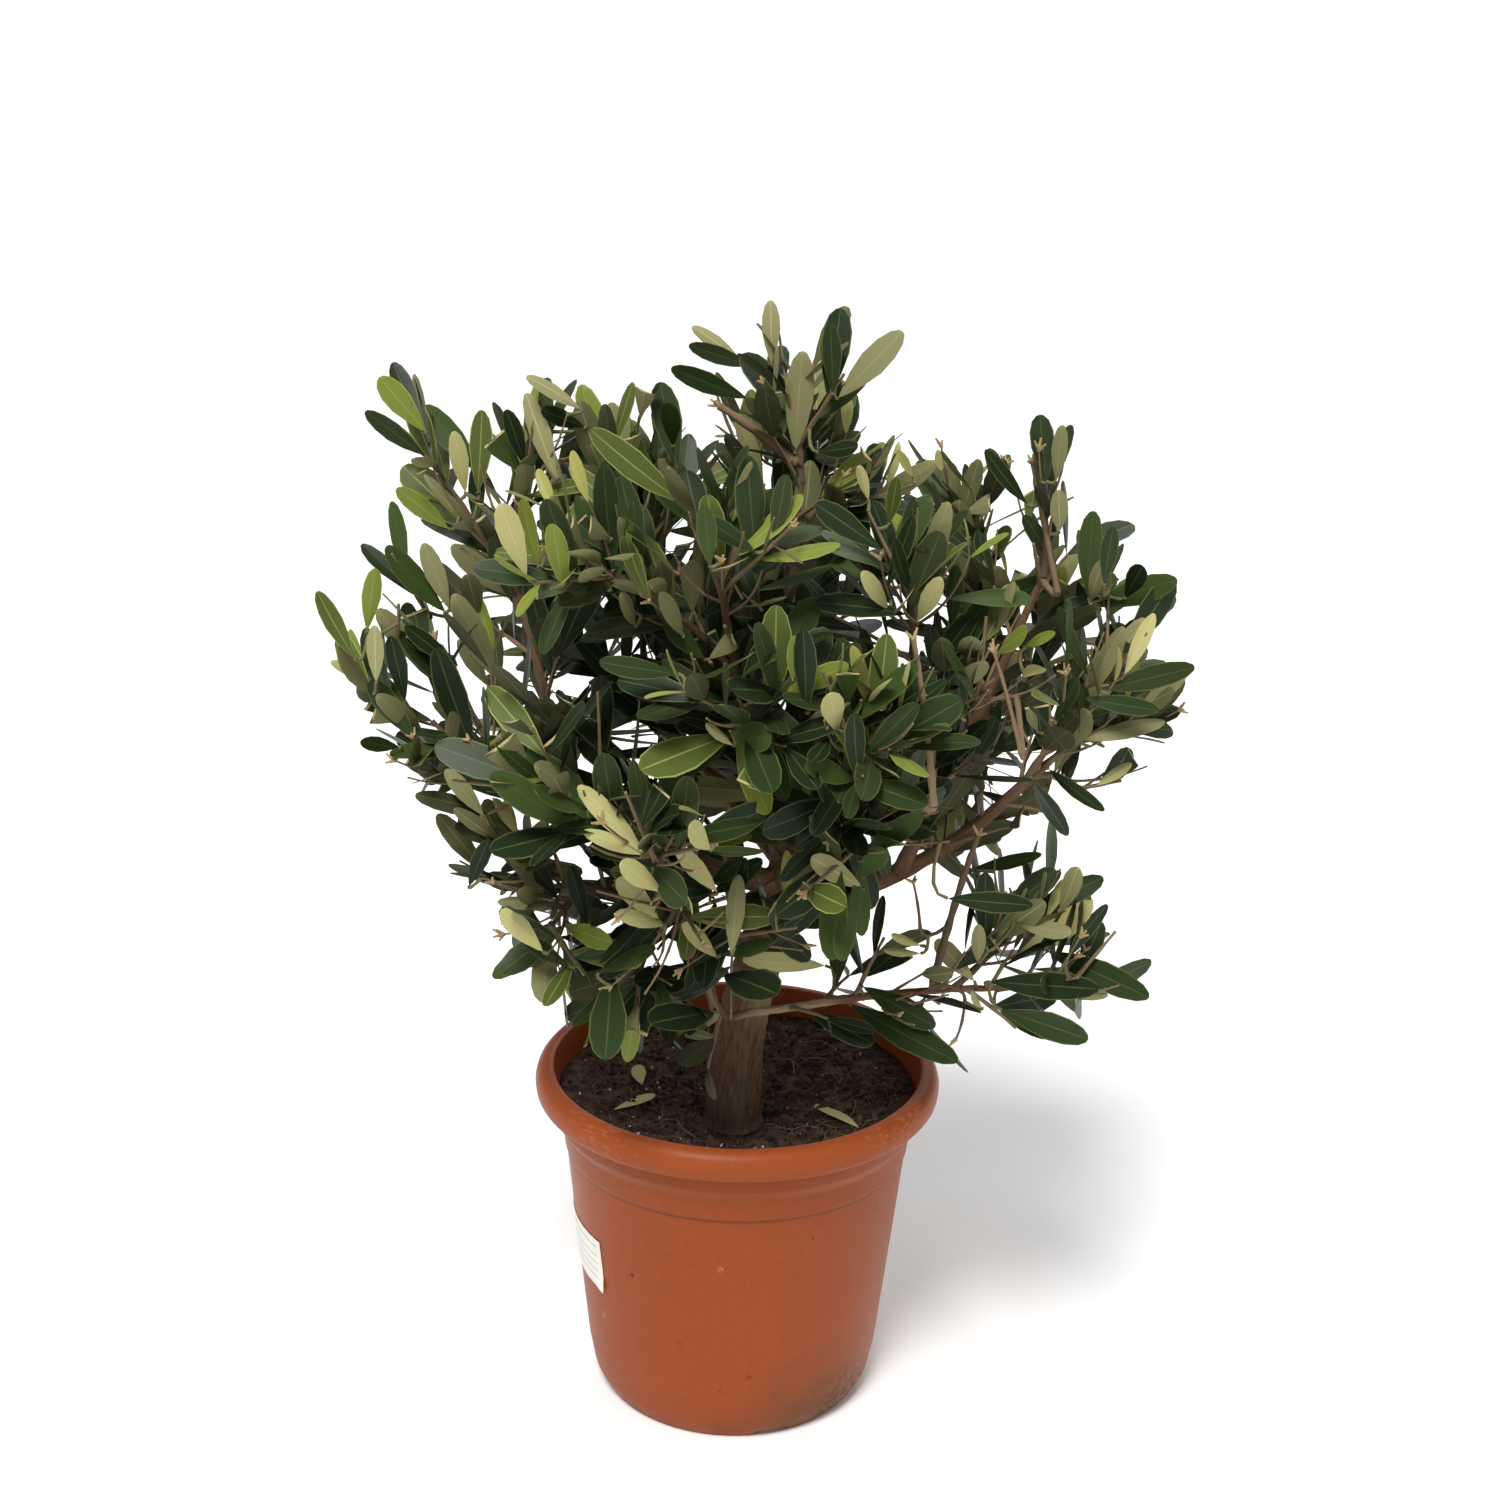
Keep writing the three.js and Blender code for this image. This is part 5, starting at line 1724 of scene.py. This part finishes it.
leaf_shapes = bpy.data.collections.new("leaf shapes")
for i, kind in enumerate(KINDS):
    leaf_shapes.objects.link(bpy.data.objects.new(f"leaf_{i}", leaf_mesh(f"leaf_{i}", kind)))

# %% [markdown]
# ## Greens
# The crown isn't one green. Old leaves are nearly black-green on top, leaves in the light are olive,
# shoots are yellow-green, and every underside is paler than its top. The tones also carry painted light
# and shade: leaves deep inside the crown and on the spurs take the darkest tone, dark on both sides, as
# painted shade, and high leaves on the outside take the paler olive tones more often, as painted light.
# Each tone is a plain colour that the rule has dealt to its leaf, and the tree of nodes below gives each
# face the colour of its tone and its side.

# %% Leaf colours
# Tone 0, the darkest on top and below, is painted shade for leaves deep in the crown as well as one of
# the random dark greens. Tones 4 and 5 are paler, as painted light on high outer leaves, and tones 5 and
# 6 are young shoots.
TOP_TONES = [(31, 43, 23), (44, 58, 29), (58, 76, 34), (52, 60, 34), (88, 100, 46),
             (122, 134, 54), (160, 158, 86)]
LOW_TONES = [((0, 0), (74, 76, 50)), ((1, 1), (110, 111, 74)), ((2, 3), (136, 134, 92)),
             ((4, 4), (154, 150, 104)), ((5, 6), (182, 176, 118))]
RIB_TONES = [((0, 3), (70, 82, 44)), ((4, 6), (146, 148, 84))]
LOW_RIB_TONES = [((0, 0), (100, 100, 68)), ((1, 3), (150, 146, 104)), ((4, 6), (192, 186, 128))]
EDGE_TONES = [((0, 3), (84, 94, 50)), ((4, 6), (154, 156, 88))]
CUT_COLOUR = (188, 172, 118)
TOP_GLOSS = 0.42
LOW_GLOSS = 0.7
TOP_SHINE = 0.18
LOW_SHINE = 0.25

# Side of the leaf, its tones with the range of leaf tones that each serves, gloss and shine
LOOK_ROWS = {
    "underside": (LOW_SKIN, LOW_TONES, LOW_GLOSS, LOW_SHINE),
    "lower rib": (LOW_RIB_SKIN, LOW_RIB_TONES, LOW_GLOSS, LOW_SHINE),
    "rib": (RIB_SKIN, RIB_TONES, TOP_GLOSS, TOP_SHINE),
    "edge": (EDGE_SKIN, EDGE_TONES, TOP_GLOSS, TOP_SHINE),
}
leaf_looks = []
for tone, colour in enumerate(TOP_TONES):
    look = plain_material(f"leaf top {tone}", colour, TOP_GLOSS, TOP_SHINE)
    leaf_looks.append((TOP_SKIN, tone, tone, look))
for word, (skin, tones, gloss, shine) in LOOK_ROWS.items():
    for (low, high), colour in tones:
        look = plain_material(f"leaf {word} {low}", colour, gloss, shine)
        leaf_looks.append((skin, low, high, look))
cut_look = plain_material("cut edge", CUT_COLOUR, LOW_GLOSS)
leaf_looks.append((CUT_SKIN, 0, len(TOP_TONES), cut_look))
print(len(leaf_looks), "leaf colours")

# %% [markdown]
# ## Trees of nodes
# Repeated things are made by Geometry Nodes. A helper adds nodes to a tree in the
# same way as for finishes: its kind, the values or links of its sockets, the output
# that is wanted, then settings.

# %% Helper for trees of geometry nodes
class Growth:
    """A tree of geometry nodes with named inputs."""

    def __init__(self, name, inputs):
        self.tree = bpy.data.node_groups.new(name, "GeometryNodeTree")
        self.tree.interface.new_socket("Geometry", in_out="INPUT", socket_type="NodeSocketGeometry")
        self.tree.interface.new_socket("Geometry", in_out="OUTPUT", socket_type="NodeSocketGeometry")
        self.sockets = {}
        for label, kind in inputs.items():
            made = self.tree.interface.new_socket(label, in_out="INPUT", socket_type=kind)
            self.sockets[label] = made.identifier
        self.given = self.tree.nodes.new("NodeGroupInput").outputs
        self.output = self.tree.nodes.new("NodeGroupOutput")

    def node(self, kind, values, output=0, **settings):
        return add_node(self.tree, kind, values, output, settings)

    def coloured(self, geometry, chosen, material):
        """The geometry with a material on its chosen faces."""
        values = {"Geometry": geometry, "Selection": chosen, "Material": material}
        return self.node("GeometryNodeSetMaterial", values)

    def stored(self, name, kind):
        return self.node("GeometryNodeInputNamedAttribute", {"Name": name}, "Attribute", data_type=kind)

    def both(self, first, second):
        return self.node("FunctionNodeBooleanMath", {0: first, 1: second}, operation="AND")

    def compare(self, operation, value, limit):
        values = {2: value, 3: limit}
        return self.node("FunctionNodeCompare", values, data_type="INT", operation=operation)

    def finish(self, geometry):
        self.tree.links.new(geometry, self.output.inputs["Geometry"])

    def grow(self, body, name, **values):
        """The plain mesh that the tree makes from an object."""
        modifier = body.modifiers.new(name, "NODES")
        modifier.node_group = self.tree
        for label, value in values.items():
            modifier[self.sockets[label.replace("_", " ")]] = value
        return baked(body, name)


def stored_points(name, points, edges, **columns):
    """A mesh of bare points or lines whose points carry named numbers."""
    mesh = bpy.data.meshes.new(name)
    mesh.from_pydata([tuple(p) for p in points], edges, [])
    for label, values in columns.items():
        values = np.asarray(values)
        whole = values.dtype.kind == "i"
        kind = "FLOAT_VECTOR" if values.ndim == 2 else "INT" if whole else "FLOAT"
        store = mesh.attributes.new(label, kind, "POINT")
        flat = values.astype(np.int32 if whole else np.float32).ravel()
        store.data.foreach_set("vector" if values.ndim == 2 else "value", flat)
    return new_object(name, mesh)


print("trees of geometry nodes can be written")

# %% [markdown]
# Leaves are instances: a leaf kind is set on each point, turned, scaled to its
# length and made real. A row of Set Material nodes then deals the colours.

# %% Tree that sets leaves on points
leaf_growth = Growth("leaves on points", {"Leaf shapes": "NodeSocketCollection",
                                          "Size": "NodeSocketFloat"})
given = leaf_growth.given
kinds = leaf_growth.node("GeometryNodeCollectionInfo", {
    "Collection": given["Leaf shapes"], "Separate Children": True, "Reset Children": True})
turn = leaf_growth.node("FunctionNodeEulerToRotation", {0: leaf_growth.stored("turn", "FLOAT_VECTOR")})
values = {0: leaf_growth.stored("length", "FLOAT"), 1: given["Size"]}
size = leaf_growth.node("ShaderNodeMath", values, operation="MULTIPLY")
shown = leaf_growth.node("GeometryNodeInstanceOnPoints", {
    "Points": given["Geometry"], "Instance": kinds, "Pick Instance": True,
    "Instance Index": leaf_growth.stored("kind", "INT"), "Rotation": turn, "Scale": size})
shown = leaf_growth.node("GeometryNodeRealizeInstances", {"Geometry": shown})
skin_of_face = leaf_growth.stored("skin", "INT")
tone_of_leaf = leaf_growth.stored("tone", "INT")
for skin, low, high, material in leaf_looks:
    in_tone = leaf_growth.both(leaf_growth.compare("GREATER_EQUAL", tone_of_leaf, low),
                               leaf_growth.compare("LESS_EQUAL", tone_of_leaf, high))
    chosen = leaf_growth.both(leaf_growth.compare("EQUAL", skin_of_face, skin), in_tone)
    shown = leaf_growth.coloured(shown, chosen, material)
leaf_growth.finish(shown)
print("leaf tree has", len(leaf_growth.tree.nodes), "nodes")

# %% [markdown]
# Twigs are lines with a thickness at each point. The tree sweeps a ring along each
# line. The thickness swells at every node, where a pair of leaves or their scars
# sit, which makes the twigs knobby. Stems are brown, their side twigs are tan, the
# finest ones are still greenish, and the clipped stalks are pale.

# %% Tree that sweeps twigs along lines
TWIG_TONES = [(98, 78, 56), (126, 104, 76), (110, 104, 66), (164, 140, 98)]
TWIG_ROUGHNESS = 0.75
twig_growth = Growth("twigs along lines", {"Sides": "NodeSocketInt"})
given = twig_growth.given
line = twig_growth.node("GeometryNodeMeshToCurve", {"Mesh": given["Geometry"]})
values = {"Resolution": given["Sides"], "Radius": 1.0}
ring = twig_growth.node("GeometryNodeCurvePrimitiveCircle", values, mode="RADIUS")
swept = twig_growth.node("GeometryNodeCurveToMesh", {
    "Curve": line, "Profile Curve": ring, "Fill Caps": True,
    "Scale": twig_growth.stored("thickness", "FLOAT")})
for kind in ("GeometryNodeSetShadeSmooth", "GeometryNodeRealizeInstances"):
    swept = twig_growth.node(kind, {"Geometry": swept})
depth_of_twig = twig_growth.stored("tone", "INT")
for tone, colour in enumerate(TWIG_TONES):
    look = plain_material(f"twig {tone}", colour, TWIG_ROUGHNESS)
    swept = twig_growth.coloured(swept, twig_growth.compare("EQUAL", depth_of_twig, tone), look)
twig_growth.finish(swept)
print("twig tree has", len(twig_growth.tree.nodes), "nodes")

# %% [markdown]
# The crown is finished region by region, so that no piece grows too large. Each
# region stands for its own masses, and its leaves and twigs are separate pieces.

# %% Regions of the crown
REGIONS = ("top", "left", "front", "front_right", "right", "back")
TWIG_SIDES = 7
NODE_SWELLING = 0.3


def twig_line(twig):
    """Points and thicknesses along a twig, swollen at each node."""
    smooth_run = Limb(twig.run.points, None) if len(twig.run.points) > 2 else twig.run
    pairs = max(2, round(twig.run.length() / NODE_PITCH))
    count = 2 * pairs + 1
    shares = np.linspace(0, 1, count)
    points = np.array([smooth_run.point(s) for s in shares])
    foot, tip = twig.taper
    taper = twig.radius * (foot + (tip - foot) * shares)
    swelling = 1 + NODE_SWELLING * (np.arange(count) % 2 == 0)
    return points * MM, taper * swelling * MM


def swept_lines(name, lines, sides):
    """One mesh from the points, the thicknesses and the tone of each line."""
    points, edges, thickness, tones = [], [], [], []
    for run, radii, tone in lines:
        first = len(points)
        points.extend(run)
        thickness.extend(radii)
        tones.extend([tone] * len(run))
        edges.extend((first + i, first + i + 1) for i in range(len(run) - 1))
    body = stored_points(name, points, edges, thickness=thickness, tone=np.array(tones))
    return twig_growth.grow(body, name, Sides=sides)


def region_twigs(name, grown):
    lines = [(*twig_line(twig), min(twig.depth, len(TWIG_TONES) - 1)) for twig in grown]
    return swept_lines(name, lines, TWIG_SIDES)


def region_leaves(name, leaves):
    turns = [Matrix(np.column_stack([leaf.across, leaf.way, leaf.face])).to_euler() for leaf in leaves]
    body = stored_points(name, [leaf.foot * MM for leaf in leaves], [],
                         turn=np.array([tuple(t) for t in turns]),
                         length=np.array([leaf.length * MM for leaf in leaves]),
                         kind=np.array([leaf.kind for leaf in leaves]),
                         tone=np.array([leaf.tone for leaf in leaves]))
    return leaf_growth.grow(body, name, Leaf_shapes=leaf_shapes, Size=1.0)


def finish_growth(region, twigs_name, twigs, leaves_name, leaves):
    """Twigs and leaves as two finished pieces, which stand for the masses of a region."""
    nodes = [f"foliage_{name}" for name, row in MASSES.items() if row[0] == region]
    finished(region_twigs(twigs_name, twigs), "bark", *nodes)
    finished(region_leaves(leaves_name, leaves), "foliage", *nodes)


for region in REGIONS:
    numbers = [n for n, row in enumerate(MASSES.values()) if row[0] == region]
    twigs = [twig for n in numbers for twig in crown[n]]
    leaves = [leaf for n in numbers for leaf in foliage[n]]
    finish_growth(region, f"twigs_{region}", twigs, f"leaves_{region}", leaves)
finish_growth("back", "spur_twigs", spurs, "spur_leaves", spur_leaves)
finish_growth("front", "shown_twigs", shown_twigs + stalks, "shown_leaves", shown_leaves)
print(len(REGIONS), "regions of the crown are finished")

# %% [markdown]
# ## Soil
# Potting mix is dark, moist peat: a lumpy ground with crumbs on it, root fibres and
# white grains of perlite. The ground is a field of rings from the pot's wall to the
# trunk, raised and lowered by grain at four sizes, and closed below so that it
# fills the pot as the solid does. It lies lowest round the trunk.

# %% Ground of peat
SOIL_EDGE_HEIGHT = 190
SOIL_DIP_RADIUS = 22
SOIL_INNER_RADIUS = 10
SOIL_HOLLOW = 1.4
SOIL_ROOM = 0.4
SOIL_RINGS = 78
SOIL_TURNS = 240
SOIL_WALL_HEIGHTS = (POT_FLOOR + GAP, 14, 100, 157, 173, 187)
LUMPS = ((34, 2.2), (13, 2.8), (6, 2.0), (2.6, 0.8))


def inner_radius(height):
    return outline_radius(POT_INSIDE[::-1], height) - SOIL_ROOM


soil_edge = inner_radius(SOIL_EDGE_HEIGHT)


def soil_height(x, y):
    """Height of the ground, from its hollow shape and its lumps."""
    from_trunk = math.hypot(x - TRUNK_FOOT[0], y - TRUNK_FOOT[1])
    to_edge = soil_edge - math.hypot(x, y)
    share = max(0, to_edge) / (max(0, to_edge) + max(1, from_trunk - SOIL_DIP_RADIUS))
    height = SOIL_EDGE_HEIGHT - (SOIL_EDGE_HEIGHT - SOIL_DIP_HEIGHT) * share ** SOIL_HOLLOW
    for pitch, rise in LUMPS:
        lump = noise.noise(Vector((x, y, 60 + pitch)) / pitch)
        height += rise * lump * min(1, 0.25 + to_edge / 8)
    return height


def ring_of(middle, radius, heights):
    turns = [2 * math.pi * i / SOIL_TURNS for i in range(SOIL_TURNS)]
    points = [(middle[0] + radius * math.cos(t), middle[1] + radius * math.sin(t)) for t in turns]
    return [(x, y, heights(x, y)) for x, y in points]


rings = [ring_of((0, 0), inner_radius(z), lambda x, y, z=z: z) for z in SOIL_WALL_HEIGHTS]
for i in range(SOIL_RINGS + 1):
    share = i / SOIL_RINGS
    radius = soil_edge + (SOIL_INNER_RADIUS - soil_edge) * share
    middle = (TRUNK_FOOT[0] * share, TRUNK_FOOT[1] * share)
    rings.append(ring_of(middle, radius, soil_height))
ground = bmesh.new()
join_rings(ground, [[ground.verts.new(Vector(point) * MM) for point in ring] for ring in rings])
soil_data = written(ground, "soil_ground")
soil_data.shade_smooth()
soil = new_object("soil_ground", soil_data)
top = mesh_points(soil_data)[len(SOIL_WALL_HEIGHTS) * SOIL_TURNS:, 2] / MM
print("ground lies between", round(top.min(), 1), "and", round(top.max(), 1), "mm")

# %% [markdown]
# Moist peat is nearly black in its hollows and brown where it has dried on top.

# %% Colour of the peat
WET_PEAT, DRY_PEAT, DRY_DUST = (30, 20, 16), (88, 63, 51), (104, 77, 58)

peat = Finish("moist peat", (38, 28, 24), 0.95, 0.25)
clods = peat.grain(110, 5)
dust = peat.grain(520, 5)
earth = peat.tint(clods.above(0.36, 0.62), WET_PEAT, DRY_PEAT)
earth = peat.tint(dust.above(0.54, 0.74) * 0.5, earth, DRY_DUST)
peat.paint(Base_Color=earth, Roughness=0.9 + dust * 0.1)
peat.bump(dust + clods * 0.6, 0.9, 0.0012)
soil_data.materials.append(peat.material)
finished(soil, "potting_soil", "soil")

# %% [markdown]
# Crumbs, perlite and scraps of bark lie on the ground. They are a few rough grains,
# scattered by a tree of nodes with a fixed seed, turned at random and sunk to
# their middles. Only the open ground is scattered on, so a flat copy of it, which
# is deleted afterwards, serves as the field.

# %% Crumbs and perlite
GRAIN_KINDS = 5
CRUMB_TONES = [(36, 25, 20), (66, 48, 39), (98, 73, 58)]
CRUMB_DENSITY = 46000
FULL_TURN = 6.28
WALL_MARGIN = 3
TRUNK_MARGIN = 2
STEEPEST = 0.3

# Piece, look, colour, roughness, grains per square metre, smallest and largest size, seed
GRAIN_SORTS = [(f"crumbs_{i}", f"crumbs {i}", colour, 0.95, CRUMB_DENSITY / 3, 0.0009, 0.0034, 11 + i)
               for i, colour in enumerate(CRUMB_TONES)]
GRAIN_SORTS += [("bark_chips", "bark chips", (78, 58, 42), 0.9, 5000, 0.0012, 0.0042, 31),
                ("perlite", "perlite", (206, 202, 192), 0.9, 2600, 0.0007, 0.0021, 51)]

grains = bpy.data.collections.new("grains")
for i in range(GRAIN_KINDS):
    lump = bmesh.new()
    bmesh.ops.create_icosphere(lump, subdivisions=1, radius=0.5)
    for corner in lump.verts:
        rough = 1 + 0.5 * noise.noise(corner.co * 3 + Vector((7 * i, 0, 0)))
        corner.co *= rough
        corner.co.x *= 1 + 0.25 * i
    grains.objects.link(bpy.data.objects.new(f"grain_{i}", written(lump, f"grain_{i}")))

scatter = Growth("grains on ground", {
    "Grains": "NodeSocketCollection", "Density": "NodeSocketFloat", "Smallest": "NodeSocketFloat",
    "Largest": "NodeSocketFloat", "Seed": "NodeSocketInt", "Look": "NodeSocketMaterial"})
given = scatter.given
spots = scatter.node("GeometryNodeDistributePointsOnFaces", {
    "Mesh": given["Geometry"], "Density": given["Density"], "Seed": given["Seed"]})
sizes = scatter.node("FunctionNodeRandomValue", {
    2: given["Smallest"], 3: given["Largest"], "Seed": given["Seed"]}, 1, data_type="FLOAT")
turns = scatter.node("FunctionNodeRandomValue", {
    0: (0, 0, 0), 1: (FULL_TURN, FULL_TURN, FULL_TURN), "Seed": 3}, data_type="FLOAT_VECTOR")
turned_by = scatter.node("FunctionNodeEulerToRotation", {0: turns})
kinds = scatter.node("GeometryNodeCollectionInfo", {
    "Collection": given["Grains"], "Separate Children": True, "Reset Children": True})
shown = scatter.node("GeometryNodeInstanceOnPoints", {
    "Points": spots, "Instance": kinds, "Pick Instance": True, "Rotation": turned_by, "Scale": sizes})
shown = scatter.node("GeometryNodeRealizeInstances", {"Geometry": shown})
shown = scatter.coloured(shown, True, given["Look"])
scatter.finish(shown)


def open_ground():
    """A copy of the ground's open top, without the ring under the trunk and at the wall."""
    field = bmesh.new()
    field.from_mesh(soil_data)
    hidden = []
    for face in field.faces:
        middle = face.calc_center_median() / MM
        from_trunk = math.hypot(middle.x - TRUNK_FOOT[0], middle.y - TRUNK_FOOT[1])
        near_wall = math.hypot(middle.x, middle.y) > soil_edge - WALL_MARGIN
        near_trunk = from_trunk < SOIL_DIP_RADIUS - TRUNK_MARGIN
        if face.normal.z < STEEPEST or near_trunk or near_wall:
            hidden.append(face)
    bmesh.ops.delete(field, geom=hidden, context="FACES")
    return written(field, "open_ground")


field_data = open_ground()
for name, look_name, colour, roughness, density, smallest, largest, seed in GRAIN_SORTS:
    look = plain_material(look_name, colour, roughness)
    sort = scatter.grow(new_object("field", field_data), name, Grains=grains, Density=density,
                        Smallest=smallest, Largest=largest, Seed=seed, Look=look)
    finished(sort, "potting_soil", "soil")
for shape in list(grains.objects):
    bpy.data.objects.remove(shape)
bpy.data.collections.remove(grains)

# %% [markdown]
# Fine roots and straw lie across the peat in loose bends. Each is a line that
# follows the ground and lifts a little off it in the middle. The same tree that
# swept the twigs gives them their thickness.

# %% Root fibres
FIBRE_COUNT = 110
FIBRE_LINKS = 7
FIBRE_TONES = 3
FIBRE_SIDES = 4
FIBRE_HUMP = 1.4
FIBRE_LIE = 0.3
FIBRE_WALL_ROOM = 2
FIBRE_SEED = 77

# The fibres that stand out: foot, turn, length, curl and half thickness
FIBRES = [((17, -24), -0.8, 36, 0.5, 0.55), ((38, 47), -0.45, 24, 0.3, 0.5),
          ((-20, -52), 2.6, 30, -0.8, 0.5)]


def fibre(start, turn, length, curl):
    """Points of a fibre that starts at a point of the ground."""
    x, y = start
    points = []
    for i in range(FIBRE_LINKS + 1):
        share = i / FIBRE_LINKS
        hump = FIBRE_LIE + FIBRE_HUMP * math.sin(math.pi * share)
        points.append((x, y, soil_height(x, y) + hump))
        turn += curl / FIBRE_LINKS
        x += math.cos(turn) * length / FIBRE_LINKS
        y += math.sin(turn) * length / FIBRE_LINKS
    return points


draw = seeded(FIBRE_SEED)
lines = []
fibres = list(FIBRES)
while len(fibres) < FIBRE_COUNT:
    turn, radius = draw() * 2 * math.pi, 30 + 66 * math.sqrt(draw())
    start = (radius * math.cos(turn), radius * math.sin(turn))
    heading, length = draw() * FULL_TURN, 7 + 20 * draw() ** 2
    fibres.append((start, heading, length, (draw() - 0.5) * 3, 0.16 + 0.24 * draw()))
for start, turn, length, curl, thick in fibres:
    run = fibre(start, turn, length, curl)
    if any(math.hypot(x, y) > soil_edge - FIBRE_WALL_ROOM for x, y, z in run):
        continue
    lines.append((np.array(run) * MM, [thick * MM] * len(run), int(draw() * FIBRE_TONES)))
finished(swept_lines("root_fibres", lines, FIBRE_SIDES), "potting_soil", "soil")

# %% [markdown]
# A few leaves have dropped: a cream scrap and a round yellow leaf on the left, a
# narrow one on the right and a dull one behind the trunk. They are the same leaf
# shapes, laid on the peat.

# %% Fallen leaves
# Foot, turn, length, kind, tone, the side that lies up, and how far it stands on edge
FALLEN = [((-57, 2), 100, 25, 3, 6, -1, 0.2), ((-72, -28), 40, 30, 3, 5, -1, 0.1),
          ((71, -47), 118, 48, 2, 5, -1, -0.25), ((-10, 62), 150, 34, 1, 4, 1, 0.2)]
LEAF_LIE = 1.6
lying = []
for (x, y), turn_degrees, length, kind, tone, side, tilt in FALLEN:
    turn = math.radians(turn_degrees)
    way = np.array([math.cos(turn), math.sin(turn), 0])
    stations = [np.array([x, y, 0]) + way * length * s for s in (0, 0.3, 0.6, 0.9)]
    highest = max(soil_height(px, py) for px, py, _ in stations)
    foot = np.array([x, y, highest + LEAF_LIE])
    face = side * (UP * math.cos(tilt) + np.array([-way[1], way[0], 0]) * math.sin(tilt))
    lying.append(Leaf(foot, way, face, length, kind, tone))
finished(region_leaves("fallen_leaves", lying), "foliage", "soil")
for shape in list(leaf_shapes.objects):
    bpy.data.objects.remove(shape)
bpy.data.collections.remove(leaf_shapes)

# %% [markdown]
# ## Label
# Growers stick a paper label on the wall. This one is left blank but for a few
# ruled lines, as a form that nobody has filled in. It follows the wall and lifts at
# one corner. Its mesh runs up the face and down the back in one loop per column. The
# lines are in the finish, placed by the label's own map.

# %% Blank paper label
LABEL_WIDTH = 60
LABEL_HEIGHT = 34
LABEL_MIDDLE_HEIGHT = 99.5
LABEL_TURN = math.radians(-71)
LABEL_COLUMNS = 48
LABEL_ROWS = 24
PAPER = 0.35
CORNER_LIFT = 1.6
CORNER_START = 0.82
CORNER_TOP = 0.3
CREASE_DEPTH = 0.12
CREASES = (9, 5)
LABEL_EDGE_DEGREES = 40
FRAME_BAND = (0.84, 0.865)
LINE_BAND = (0.08, 0.92)
FIRST_LINE = 0.2
LINE_PITCH = 0.15
LINE_THICKNESS = 0.018
LINE_COUNT = 4
BAND_EDGE = 0.004
CLEAN_PAPER, TIRED_PAPER, PALE_INK = (234, 231, 224), (206, 198, 184), (120, 120, 122)


def label_point(u, v, lift):
    """A point of the label, for shares of its width and height."""
    height = LABEL_MIDDLE_HEIGHT + (v - 0.5) * LABEL_HEIGHT
    radius = outline_radius(POT_OUTSIDE, height)
    corner = max(0, u - CORNER_START) / (1 - CORNER_START)
    curl = CORNER_LIFT * corner * max(0, CORNER_TOP - v) / CORNER_TOP
    crease = CREASE_DEPTH * noise.noise(Vector((u * CREASES[0], v * CREASES[1], 2)))
    out = radius + GAP + lift + curl + crease
    turn = LABEL_TURN + (u - 0.5) * LABEL_WIDTH / radius
    return Vector((math.sin(turn) * out, -math.cos(turn) * out, height)) * MM


sheet = bmesh.new()
uv = sheet.loops.layers.uv.new("paper")
place_on_paper = {}


def label_ring(column):
    """Corners up the face of the label and down its back, at one column."""
    up_and_down = [(PAPER, k) for k in range(LABEL_ROWS + 1)]
    up_and_down += [(0, k) for k in range(LABEL_ROWS, -1, -1)]
    ring = []
    for lift, k in up_and_down:
        u, v = column / LABEL_COLUMNS, k / LABEL_ROWS
        ring.append(sheet.verts.new(label_point(u, v, lift)))
        place_on_paper[ring[-1]] = (u, v)
    return ring


join_rings(sheet, [label_ring(column) for column in range(LABEL_COLUMNS + 1)])
bmesh.ops.recalc_face_normals(sheet, faces=sheet.faces)
for face in sheet.faces:
    for loop in face.loops:
        loop[uv].uv = place_on_paper[loop.vert]
label_data = written(sheet, "paper_label")
smooth(label_data, LABEL_EDGE_DEGREES)
label = new_object("paper_label", label_data)

paper = Finish("label paper", (232, 229, 222), 0.62)
map_of_paper = paper.node("ShaderNodeUVMap", {}, "UV", uv_map="paper")
across, upward = (paper.node("ShaderNodeSeparateXYZ", {0: map_of_paper}, axis) for axis in "XY")


def band(amount, low, high):
    """1 where an amount lies between two limits."""
    return amount.above(low - BAND_EDGE, low) * (1 - amount.above(high, high + BAND_EDGE))


ink = band(upward, *FRAME_BAND) * band(across, *LINE_BAND)
for line in range(LINE_COUNT):
    low = FIRST_LINE + LINE_PITCH * line
    ink = ink + band(upward, low, low + LINE_THICKNESS) * band(across, *LINE_BAND)
tired = paper.grain(70, 4).above(0.5, 0.75)
colour = paper.tint(tired * 0.35, CLEAN_PAPER, TIRED_PAPER)
colour = paper.tint(ink * 0.6, colour, PALE_INK)
paper.paint(Base_Color=colour, Roughness=0.58 + tired * 0.2)
paper.bump(paper.grain(900, 3), 0.15, 0.0002)
label_data.materials.append(paper.material)
finished(label, "paper_label", "label")

# %% [markdown]
# ## The rest
# Everything is in place. The size of the dressed tree is set beside that of its solids and printed, so
# that the two can be compared.

# %% Sizes and the end
dressed_low, dressed_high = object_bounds()
sizes = {"solids": [list(map(float, solid_low)), list(map(float, solid_high))],
         "dressed": [list(map(float, dressed_low)), list(map(float, dressed_high))]}
print("dressed tree reaches from", [round(v, 3) for v in dressed_low],
      "to", [round(v, 3) for v in dressed_high])
